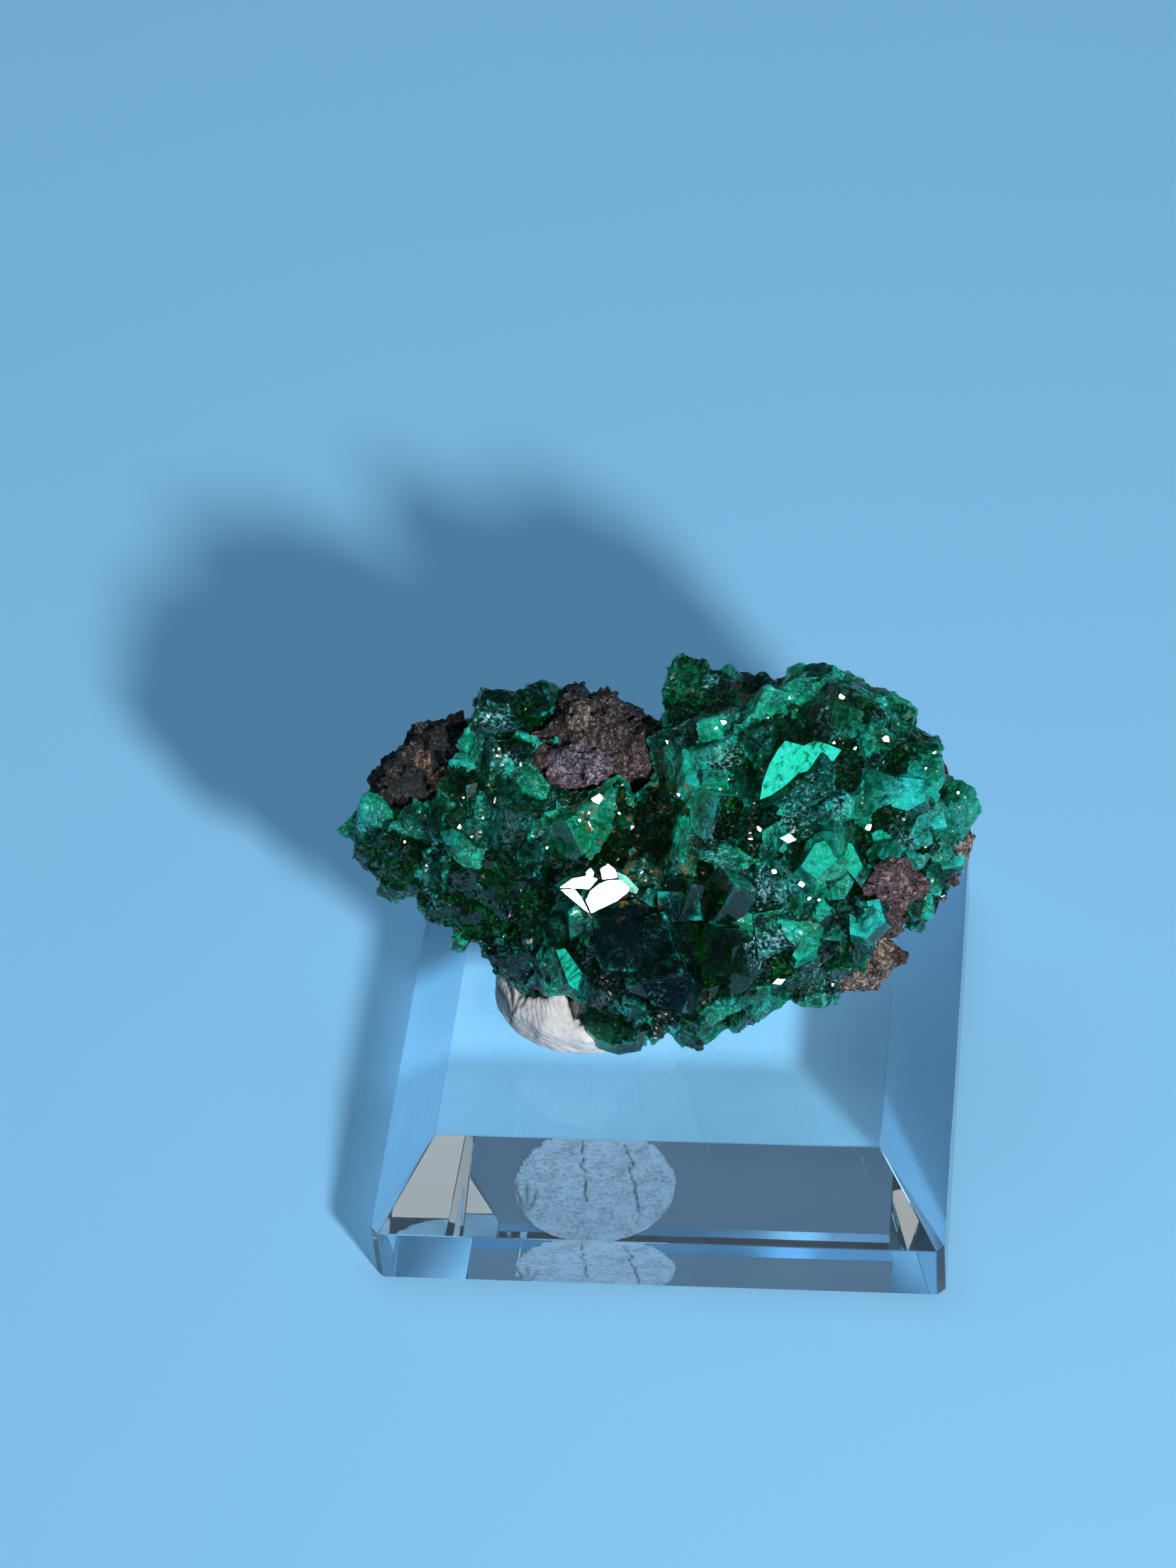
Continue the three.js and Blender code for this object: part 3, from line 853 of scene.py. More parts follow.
@dataclass
class PhotoCamera:
    """The camera, placed as the one that took the photograph: where it looks, from how far, and its turns."""

    target: Point = (-11.21, 28.95, 10.0)
    distance: float = 444.04
    pitch: float = 0.7438
    yaw: float = -0.1661
    roll: float = -0.0937
    focal: float = 6519.9
    frame_px: tuple[int, int] = (1659, 2212)
    sensor: float = 36.0
    nearest: float = 10.0

    def directions(self) -> tuple[Vector, Vector, Vector]:
        """The camera's right, up and forward directions.

        Returns:
            Three directions of length 1 in the row frame.
        """
        level = math.cos(self.pitch)
        forward = Vector((math.sin(self.yaw) * level, math.cos(self.yaw) * level, -math.sin(self.pitch)))
        side = forward.cross(Vector((0, 0, 1))).normalized()
        above = side.cross(forward)
        c, s = math.cos(self.roll), math.sin(self.roll)
        return c * side + s * above, c * above - s * side, forward

    def place(self) -> Vector:
        """Where the camera stands, in millimetres."""
        return Vector(self.target) - self.directions()[2] * self.distance

    def ray(self, pixel: Pixel) -> Vector:
        """The direction that one pixel of the photograph looks in.

        Args:
            pixel: the pixel, across and down.

        Returns:
            A direction of length 1 in the row frame.
        """
        right, up, forward = self.directions()
        across = (pixel[0] - self.frame_px[0] / 2) / self.focal
        down = (pixel[1] - self.frame_px[1] / 2) / self.focal
        return (forward + right * across - up * down).normalized()

    def pixel(self, place: Vector) -> Pixel:
        """The pixel of the photograph that shows a place.

        Args:
            place: the place, in millimetres.

        Returns:
            The pixel, across and down.
        """
        right, up, forward = self.directions()
        way = place - self.place()
        scale = self.focal / way.dot(forward)
        return self.frame_px[0] / 2 + way.dot(right) * scale, self.frame_px[1] / 2 - way.dot(up) * scale

    def build(self) -> bpy.types.Object:
        """Makes the camera and looks through it.

        Returns:
            The camera.
        """
        lens = bpy.data.cameras.new("photo_camera")
        lens.sensor_fit = "VERTICAL"
        lens.sensor_height = self.sensor
        lens.lens = self.focal / self.frame_px[1] * self.sensor
        lens.clip_start = self.nearest * MM
        lens.dof.use_dof = False
        camera = bpy.data.objects.new("photo_camera", lens)
        right, up, forward = self.directions()
        turn = Matrix((right, up, -forward)).transposed().to_4x4()
        camera.matrix_world = Matrix.Translation(self.place() * MM) @ turn
        bpy.context.scene.collection.objects.link(camera)
        bpy.context.scene.camera = camera
        return camera


@dataclass(frozen=True)
class RoomCard:
    """A soft pale card in the room: the direction that it lies in, its radius as an angle, and its colour."""

    towards: Point
    radius: float
    colour: Colour


@dataclass
class Studio:
    """The pale table, the soft lamps and the even light of the room.

    The room is low_room along the walls and high_room above, from the lower to the upper wall_heights, and
    front_room where it lies further forward than front_from, fully from front_full on.
    """

    floor: PaleFloor
    key_at: Point = (124.3, -217.4, 164.2)
    key_towards: Point = (2.0, 0.0, 24.0)
    key_size: float = 27.0
    key_power: float = 11.5
    sky_at: Point = (-60.0, 160.0, 800.0)
    sky_towards: Point = (0.0, 0.0, 0.0)
    sky_size: float = 900.0
    sky_power: float = 3.3
    sky_tint: Colour = (0.60, 0.84, 1.0)
    low_room: Colour = (0.19, 0.16, 0.14)
    high_room: Colour = (0.025, 0.045, 0.065)
    front_room: Colour = (0.020, 0.034, 0.046)
    wall_heights: tuple[float, float] = (0.05, 0.55)
    front_from: float = 0.15
    front_full: float = -0.35
    room_strength: float = 0.9
    cards: tuple[RoomCard, ...] = (
        RoomCard((-0.09, 0.67, 0.74), 0.34, (0.130, 0.200, 0.270)),
        RoomCard((0.68, -0.25, 0.69), 0.14, (0.90, 0.70, 0.58)),
        RoomCard((0.36, -0.67, 0.65), 0.09, (0.95, 0.66, 0.52)),
    )
    card_full: float = 0.7
    bounces: int = 24
    table_side: float = 3000.0
    table_squares: int = 8
    table_gap: float = 0.03

    def build(self) -> None:
        """Makes the table and the lights."""
        self._table()
        key = self._lamp("key_lamp", self.key_at, self.key_towards, self.key_size, self.key_power)
        self._even_out(key.data)
        sky = self._lamp("sky_panel", self.sky_at, self.sky_towards, self.sky_size, self.sky_power)
        sky.data.color = self.sky_tint
        sky.visible_glossy = False
        scene = bpy.context.scene
        scene.world = self._room()
        scene.view_settings.view_transform = "Standard"
        scene.cycles.max_bounces = self.bounces
        scene.cycles.transmission_bounces = self.bounces
        scene.cycles.glossy_bounces = self.bounces // 2

    def _table(self) -> None:
        """Lays the table just under the block, so that air stays between them."""
        work = bmesh.new()
        squares = self.table_squares
        bmesh.ops.create_grid(work, x_segments=squares, y_segments=squares, size=self.table_side * MM / 2)
        bmesh.ops.translate(work, verts=work.verts, vec=(0, 0, -self.table_gap * MM))
        table = object_from(work, "pale_table")
        table.data.materials.append(self.floor.material())

    def _room(self) -> bpy.types.World:
        """The room's even light: warm and low along the walls, cool and dim above, with a few pale cards.

        Returns:
            The world.
        """
        world = bpy.data.worlds.new("room")
        world.use_nodes = True
        world.node_tree.nodes.clear()
        sheet = NodeSheet(world.node_tree)
        way = sheet.add("ShaderNodeTexCoord", out="Generated")
        height = sheet.add("ShaderNodeSeparateXYZ", {}, {0: way}, "Z")
        colour = sheet.blend(height.rise(*self.wall_heights), self.low_room, self.high_room)
        depth = sheet.add("ShaderNodeSeparateXYZ", {}, {0: way}, "Y")
        colour = sheet.blend(depth.rise(self.front_from, self.front_full), colour, self.front_room)
        for card in self.cards:
            apart = sheet.vectors("DISTANCE", {0: way, 1: card.towards}, "Value")
            colour = sheet.blend(apart.rise(card.radius, card.radius * self.card_full), colour, card.colour)
        sockets = {"Color": colour, "Strength": self.room_strength}
        sheet.add("ShaderNodeOutputWorld", {}, {"Surface": sheet.add("ShaderNodeBackground", {}, sockets)})
        return world

    @staticmethod
    def _even_out(light: bpy.types.AreaLight) -> None:
        """Keeps a near lamp's light from falling off across the table.

        Args:
            light: the lamp's light.
        """
        light.use_nodes = True
        sheet = NodeSheet(light.node_tree)
        light.node_tree.nodes.clear()
        strength = sheet.add("ShaderNodeLightFalloff", {}, {"Strength": 1.0}, "Constant")
        glow = sheet.add("ShaderNodeEmission", {}, {"Strength": strength}, "Emission")
        sheet.add("ShaderNodeOutputLight", {}, {"Surface": glow})

    @staticmethod
    def _lamp(name: str, at: Point, towards: Point, size: float, power: float) -> bpy.types.Object:
        """Hangs a round soft lamp.

        Args:
            name: its name.
            at: where it hangs, in millimetres.
            towards: the point that it faces.
            size: its diameter, in millimetres.
            power: its power in watts.

        Returns:
            The lamp.
        """
        light = bpy.data.lights.new(name, "AREA")
        light.shape = "DISK"
        light.size = size * MM
        light.energy = power
        lamp = bpy.data.objects.new(name, light)
        lamp.location = Vector(at) * MM
        lamp.rotation_euler = (Vector(towards) - Vector(at)).to_track_quat("-Z", "Y").to_euler()
        bpy.context.scene.collection.objects.link(lamp)
        return lamp


@dataclass
class DisplayBlock:
    """The clear bevelled block, its edges softly polished.

    A level face lets all of a lamp's light through, one that faces the front its front_share, and any other
    its slanted_share. The two cuts are the least upright and forward parts of such faces' normals.
    """

    finish: ClearAcrylic
    node: str = "acrylic_base"
    edge: float = 0.06
    flat_angle: float = math.radians(1)
    edge_angle: float = math.radians(15)
    slanted_share: float = 0.10
    front_share: float = 0.45
    level_cut: float = 0.99
    front_cut: float = 0.3

    def build(self) -> bpy.types.Object:
        """Makes the block with its polished edges.

        Returns:
            The finished piece.
        """
        piece = merged_copy(self.node, "clear_block")
        work = bmesh_of(piece)
        bmesh.ops.dissolve_limit(work, angle_limit=self.flat_angle, verts=work.verts, edges=work.edges)
        work.to_mesh(piece.data)
        work.free()
        bevel = piece.modifiers.new("polished_edges", "BEVEL")
        bevel.width = self.edge * MM
        bevel.segments = 1
        bevel.limit_method = "ANGLE"
        bevel.angle_limit = self.edge_angle
        settle(piece)
        store(piece.data, "FACE", {"level": [self._passing(face.normal) for face in piece.data.polygons]})
        return finish_piece(piece, self.node, self.finish.material())

    def _passing(self, normal: Vector) -> float:
        """The share of a lamp's light that a face with this normal lets through."""
        slanted = self.front_share if normal.y < -self.front_cut else self.slanted_share
        return 1.0 if abs(normal.z) > self.level_cut else slanted


@dataclass
class PuttyLump:
    """The lump of putty, pressed flat on the block and up against the specimen.

    Stretch ridges lean round its side, cracks run across its contact disc, given in millimetres from above,
    and the folds are where the photograph shows them, in its pixels. A scale is how fast a noise changes,
    per millimetre.
    """

    finish: PressedPutty
    camera: PhotoCamera
    node: str = "mounting_putty"
    step: float = 0.22
    swell: float = 0.22
    block_top: float = 12.7
    press: float = 0.02
    contact: float = 0.75
    facing_down: float = 0.6
    ridge: float = 0.10
    ridge_every: float = 1.15
    ridge_sharpness: float = 0.6
    ridge_base: float = 0.6
    ridge_lean: tuple[float, float] = (0.35, 1.25)
    ridge_wander: float = 1.6
    wander_scale: float = 0.28
    dents: float = 0.06
    dent_scale: float = 2.1
    cracks: tuple[Outline, ...] = (
        ((-9.4, 5.6), (-8.6, -2.4)),
        ((-5.2, 5.2), (-3.4, -3.6)),
    )
    crack_width: float = 0.16
    crack_wander: float = 0.35
    crack_scale: float = 0.9
    crack_reach: float = 0.2
    folds: tuple[Outline, ...] = (
        ((702, 1392), (716, 1412), (722, 1440)),
        ((716, 1382), (724, 1404), (724, 1430)),
        ((735, 1384), (734, 1404), (727, 1424)),
        ((749, 1392), (742, 1410), (735, 1420)),
    )
    fold_width: float = 4.0
    fold_depth: float = 0.16
    # How dark the painted shade is in the middle of a fold
    fold_darkness: float = 0.8

    def build(self) -> bpy.types.Object:
        """Makes the putty with its pressed ridges and the cracks in its underside.

        Returns:
            The finished piece.
        """
        piece = merged_copy(self.node, "putty_lump")
        even_mesh(piece, self.step)
        move_points(piece, self._pressed)
        piece.data.shade_smooth()
        self._mark_crease_shade(piece)
        return finish_piece(piece, self.node, self.finish.material())

    def _pressed(self, place: Vector, normal: Vector) -> Vector:
        """A point of the lump, swollen against its neighbours, ridged, and flat where it meets the block.

        Args:
            place: the point, in millimetres.
            normal: the way that the surface faces there.

        Returns:
            Its new place, in millimetres.
        """
        warp = noise.noise(place * self.wander_scale) * self.ridge_wander
        level = (place.z * self.ridge_lean[1] + self.ridge_lean[0] * place.x + warp) / self.ridge_every
        ridge = abs(math.sin(math.pi * level)) ** self.ridge_sharpness - self.ridge_base
        side = 1.0 - abs(normal.z) ** 3
        out = self.swell + self.ridge * ridge * side + self.dents * noise.noise(place * self.dent_scale)
        moved = place + normal * (out - self.fold_depth * self._fold(place))
        if place.z < self.block_top + self.contact and normal.z < -self.facing_down:
            moved.z = self.block_top - self.press
        return Vector((moved.x, moved.y, max(moved.z, self.block_top - self.press)))

    def _mark_crease_shade(self, piece: bpy.types.Object) -> None:
        """Stores the painted shade of each point, in folds and along cracks, and whether it is pressed on the
        block.

        Args:
            piece: the lump.
        """
        values = []
        for vertex in piece.data.vertices:
            place = vertex.co / MM
            crack = self._fold(place) * self.fold_darkness
            if place.z < self.block_top + self.crack_reach:
                bend = self.crack_wander * noise.noise(place * self.crack_scale)
                near = min(self._away(place.x + bend, place.y, *ends) for ends in self.cracks)
                crack = max(crack, 1.0 - near / self.crack_width)
            values.append(crack)
        pressed = [float(v.co.z < self.block_top * MM) for v in piece.data.vertices]
        store(piece.data, "POINT", {"crease": values, "pressed": pressed})

    def _fold(self, place: Vector) -> float:
        """How deep a place of the lump lies in one of the folds that the photograph shows.

        Args:
            place: the place, in millimetres.

        Returns:
            From 0 outside them to 1 in the middle of one.
        """
        pixel = self.camera.pixel(place)
        near = min(self._away(*pixel, *ends) for line in self.folds for ends in zip(line, line[1:]))
        return max(0.0, 1.0 - near / self.fold_width)

    @staticmethod
    def _away(x: float, y: float, start: Pixel, end: Pixel) -> float:
        """How far a point lies from a straight line between two others.

        Args:
            x: the point's first coordinate.
            y: its second one.
            start: where the line starts.
            end: where it ends.

        Returns:
            The distance, in the units of the coordinates.
        """
        along = Vector(end) - Vector(start)
        reach = Vector((x, y)) - Vector(start)
        share = min(1.0, max(0.0, reach.dot(along) / along.length_squared))
        return (reach - along * share).length


@dataclass(frozen=True)
class Druse:
    """One generation of small crystals or grains: their spacing, sizes, lean and seed.

    Crystals lean alike within a patch, by patch_lean at most, and each one by own_lean and a turn of its own.
    Their proportions are drawn between slim and stout.
    """

    spacing: float
    smallest: float
    largest: float
    lean: float
    seed: int
    crowding: float = 5.0
    patch_scale: float = 190.0
    patch_lean: float = 4.0
    own_lean: tuple[Point, Point] = ((-0.22, -0.22, 0.0), (0.22, 0.22, 0.9))
    proportions: tuple[Point, Point] = ((0.85, 0.85, 0.8), (1.15, 1.15, 1.5))

    def grow(
        self, ground: bpy.types.Object, crystal: bpy.types.Object, material: bpy.types.Material
    ) -> bpy.types.Object:
        """Scatters crystals over a surface with Geometry Nodes.

        Args:
            ground: the surface that they stand on; it is used up.
            crystal: the shape of one, with its tip upwards and a radius of one millimetre.
            material: their finish.

        Returns:
            The crystals as one plain mesh.
        """
        growth = ground.modifiers.new("druse", "NODES")
        growth.node_group = self._tree()
        values = {
            "Crystal": crystal,
            "Spacing": self.spacing * MM,
            "Smallest": self.smallest,
            "Largest": self.largest,
            "Lean": self.lean,
            "Seed": self.seed,
            "Finish": material,
        }
        for item in growth.node_group.interface.items_tree:
            if item.name in values:
                growth[item.identifier] = values[item.name]
        settle(ground)
        bpy.data.node_groups.remove(bpy.data.node_groups["druse"])
        return ground

    def _tree(self) -> bpy.types.NodeTree:
        """Draws the tree that scatters crystals.

        Returns:
            The tree, with its inputs named for the crystals' sizes.
        """
        tree = bpy.data.node_groups.new("druse", "GeometryNodeTree")
        kinds = {
            "Ground": "NodeSocketGeometry",
            "Crystal": "NodeSocketObject",
            "Spacing": "NodeSocketFloat",
            "Smallest": "NodeSocketFloat",
            "Largest": "NodeSocketFloat",
            "Lean": "NodeSocketFloat",
            "Seed": "NodeSocketInt",
            "Finish": "NodeSocketMaterial",
        }
        for name, kind in kinds.items():
            tree.interface.new_socket(name, in_out="INPUT", socket_type=kind)
        tree.interface.new_socket("Crystals", in_out="OUTPUT", socket_type="NodeSocketGeometry")
        sheet = NodeSheet(tree)
        ports = tree.nodes.new("NodeGroupInput")
        given = {name: Wire(sheet, ports.outputs[name]) for name in kinds}
        area = given["Spacing"] * given["Spacing"]
        crowd = sheet.add("ShaderNodeMath", {"operation": "DIVIDE"}, {0: self.crowding, 1: area})
        sockets = {
            "Mesh": given["Ground"],
            "Distance Min": given["Spacing"],
            "Density Max": crowd,
            "Seed": given["Seed"],
        }
        spread = {"distribute_method": "POISSON"}
        points = sheet.add("GeometryNodeDistributePointsOnFaces", spread, sockets, "Points")
        upright = Wire(sheet, points.socket.node.outputs["Rotation"])
        place = sheet.add("GeometryNodeInputPosition")
        sockets = {"Vector": place, "Scale": self.patch_scale, "Detail": 0.0}
        patch = sheet.add("ShaderNodeTexNoise", {}, sockets, "Color")
        centred = sheet.vectors("SUBTRACT", {0: patch, 1: (0.5, 0.5, 0.5)})
        alike = sheet.vectors("SCALE", {0: centred, "Scale": given["Lean"] * self.patch_lean})
        leaning = sheet.vectors("ADD", {0: alike, 1: self._drawn(sheet, self.own_lean, given["Seed"])})
        turn = sheet.add("FunctionNodeEulerToRotation", {}, {0: leaning}, "Rotation")
        sockets = {"Rotation": upright, "Rotate By": turn}
        turned = sheet.add("FunctionNodeRotateRotation", {"rotation_space": "LOCAL"}, sockets, "Rotation")
        sockets = {"Seed": given["Seed"] + 7.0}
        even = sheet.add("FunctionNodeRandomValue", {"data_type": "FLOAT"}, sockets, "Value")
        size = given["Smallest"] + (given["Largest"] - given["Smallest"]) * even * even
        stretch = self._drawn(sheet, self.proportions, given["Seed"] + 11.0)
        shape = sheet.vectors("SCALE", {0: stretch, "Scale": size})
        one = sheet.add("GeometryNodeObjectInfo", {}, {"Object": given["Crystal"]}, "Geometry")
        sockets = {"Points": points, "Instance": one, "Rotation": turned, "Scale": shape}
        many = sheet.add("GeometryNodeInstanceOnPoints", {}, sockets, "Instances")
        real = sheet.add("GeometryNodeRealizeInstances", {}, {"Geometry": many}, "Geometry")
        sockets = {"Geometry": real, "Material": given["Finish"]}
        dressed = sheet.add("GeometryNodeSetMaterial", {}, sockets, "Geometry")
        sheet.add("NodeGroupOutput", {}, {"Crystals": dressed})
        return tree

    @staticmethod
    def _drawn(sheet: NodeSheet, between: tuple[Point, Point], seed: Wire) -> Wire:
        """A random vector for each crystal, between two others."""
        sockets = {"Min": between[0], "Max": between[1], "Seed": seed}
        return sheet.add("FunctionNodeRandomValue", {"data_type": "FLOAT_VECTOR"}, sockets, "Value")


def crystal_shape() -> bpy.types.Object:
    """One dioptase crystal with a radius of a millimetre: a six-sided prism closed by three rhombs.

    Returns:
        The crystal with its tip upwards. Its foot, which stands in the ground, is narrower.
    """
    sides, tip, fall = 6, 0.60, 1.233
    foot, foot_radius = -1.3, 0.8
    points = [Vector((0, 0, tip))]
    for i in range(sides):
        angle = i * math.tau / sides
        x, y = math.cos(angle), math.sin(angle)
        points.append(Vector((x, y, tip - (fall if i % 2 else fall / 2))))
        points.append(Vector((x * foot_radius, y * foot_radius, foot)))
    return hull(points, "one_crystal")


def hull(points: Sequence[Vector], name: str) -> bpy.types.Object:
    """The convex solid around points in millimetres.

    Args:
        points: its corners.
        name: the new object's name.

    Returns:
        The object, with its faces pointing outwards.
    """
    work = bmesh.new()
    for point in points:
        work.verts.new(point * MM)
    made = bmesh.ops.convex_hull(work, input=work.verts)
    loose = [g for g in made["geom_interior"] if isinstance(g, bmesh.types.BMVert)]
    bmesh.ops.delete(work, geom=loose, context="VERTS")
    bmesh.ops.recalc_face_normals(work, faces=work.faces)
    return object_from(work, name)


def split_long_edges(piece: bpy.types.Object, longest: float, rounds: int = 3) -> None:
    """Halves a mesh's long edges, a few times over.

    Args:
        piece: the object with the mesh.
        longest: the longest edge that stays whole, in millimetres.
        rounds: how many times over.
    """
    work = bmesh_of(piece)
    for _ in range(rounds):
        long_edges = [e for e in work.edges if e.calc_length() > longest * MM]
        if long_edges:
            bmesh.ops.subdivide_edges(work, edges=long_edges, cuts=1)
            bmesh.ops.triangulate(work, faces=[f for f in work.faces if len(f.verts) > 3])
    work.to_mesh(piece.data)
    work.free()


def surface_part(piece: bpy.types.Object, name: str, keep: Callable[[Vector], bool]) -> bpy.types.Object:
    """The part of a mesh's surface that small things may stand on.

    Args:
        piece: the mesh.
        name: the new object's name.
        keep: says for a face's centre, in millimetres, whether it stays.

    Returns:
        An open mesh.
    """
    work = bmesh_of(piece)
    gone = [f for f in work.faces if not keep(f.calc_center_median() / MM)]
    bmesh.ops.delete(work, geom=gone, context="FACES")
    return object_from(work, name)


@dataclass
class MatrixRock:
    """The rock under the crystals, rough and granular where it shows.

    Grains stand on it at bare_gap or more from the crust, and above bare_from. A scale is how fast a noise
    changes, per millimetre.
    """

    finish: StainedRock
    node: str = "matrix_rock"
    step: float = 0.45
    crags: float = 0.45
    crag_scale: float = 0.30
    pits: float = 0.14
    pit_scale: float = 2.2
    bare_gap: float = 0.55
    bare_from: float = 18.0
    grains: Druse = Druse(0.80, 0.16, 0.38, 1.0, 5)
    shards: Shards = Shards(1.9, 0.42, 0.30, 4.0)

    def build(self) -> bpy.types.Object:
        """Makes the rough rock and fuses its grains to it.

        Returns:
            The finished piece.
        """
        piece = merged_copy(self.node, "rough_rock")
        even_mesh(piece, self.step)
        crust = search_tree(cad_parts["dioptase_crystals"])
        move_points(piece, self._roughened)
        ground = surface_part(piece, "grain_ground", lambda at: self._bare(at, crust))
        template = crystal_shape()
        material = self.finish.material()
        combine(piece, self.grains.grow(ground, template, material))
        drop(template)
        piece.data.shade_flat()
        return finish_piece(piece, self.node, material)

    def _bare(self, at: Vector, crust: BVHTree) -> bool:
        """Whether a place on the rock, in millimetres, is clear of the crust and high enough."""
        return crust.find_nearest(at * MM)[3] > self.bare_gap * MM and at.z > self.bare_from

    def _roughened(self, place: Vector, normal: Vector) -> Vector:
        """A point of the rock, moved to make crags, shards and pits.

        Args:
            place: the point, in millimetres.
            normal: the way that the surface faces there.

        Returns:
            Its new place, in millimetres.
        """
        crag = self.crags * noise.fractal(place * self.crag_scale, 1.0, 2.1, 4)
        pit = self.pits * noise.noise(place * self.pit_scale)
        return place + normal * (crag + self.shards.at(place)[0] + pit)


@dataclass(frozen=True)
class SmoothZone:
    """A clean part of the crust where no small crystals stand: its centre on the display face and radius."""

    at: Point
    radius: float


@dataclass(frozen=True)
class Glint:
    """A small facet that mirrors the key lamp: its pixel in the photograph, width, height and turn."""

    pixel: Pixel
    width: float
    height: float
    turn: float


@dataclass(frozen=True)
class BreakFace:
    """A flat face set into the crust: its outline in the photograph, how it lies, and its look.

    It mirrors the key lamp into the camera, turned away from that by its leans in degrees, or it faces the
    camera, turned by them. Its further parts are outlines in the same plane.
    """

    outline: Outline
    mirror: bool
    leans: tuple[float, float]
    # Painted light on the face above 0, painted shade on it below 0
    glow: float
    teal: float
    proud: float = 0.15
    parts: tuple[Outline, ...] = ()


@dataclass(frozen=True)
class PlacedFace:
    """A flat face where it lies: a point on it, the way that it faces, the face and its solids' corners."""

    point: Vector
    normal: Vector
    face: BreakFace
    solids: list[list[Vector]]


@dataclass(frozen=True)
class Patch:
    """A soft patch on the crust: its pixel in the photograph, its radius, and what it adds."""

    pixel: Pixel
    # Added lightness: partly the crystals' own tone, partly painted shade in cavities and crevices and
    # painted light on bright translucent spots
    radius: float
    tone: float
    teal: float = 0.0
    sugar: float = 0.0


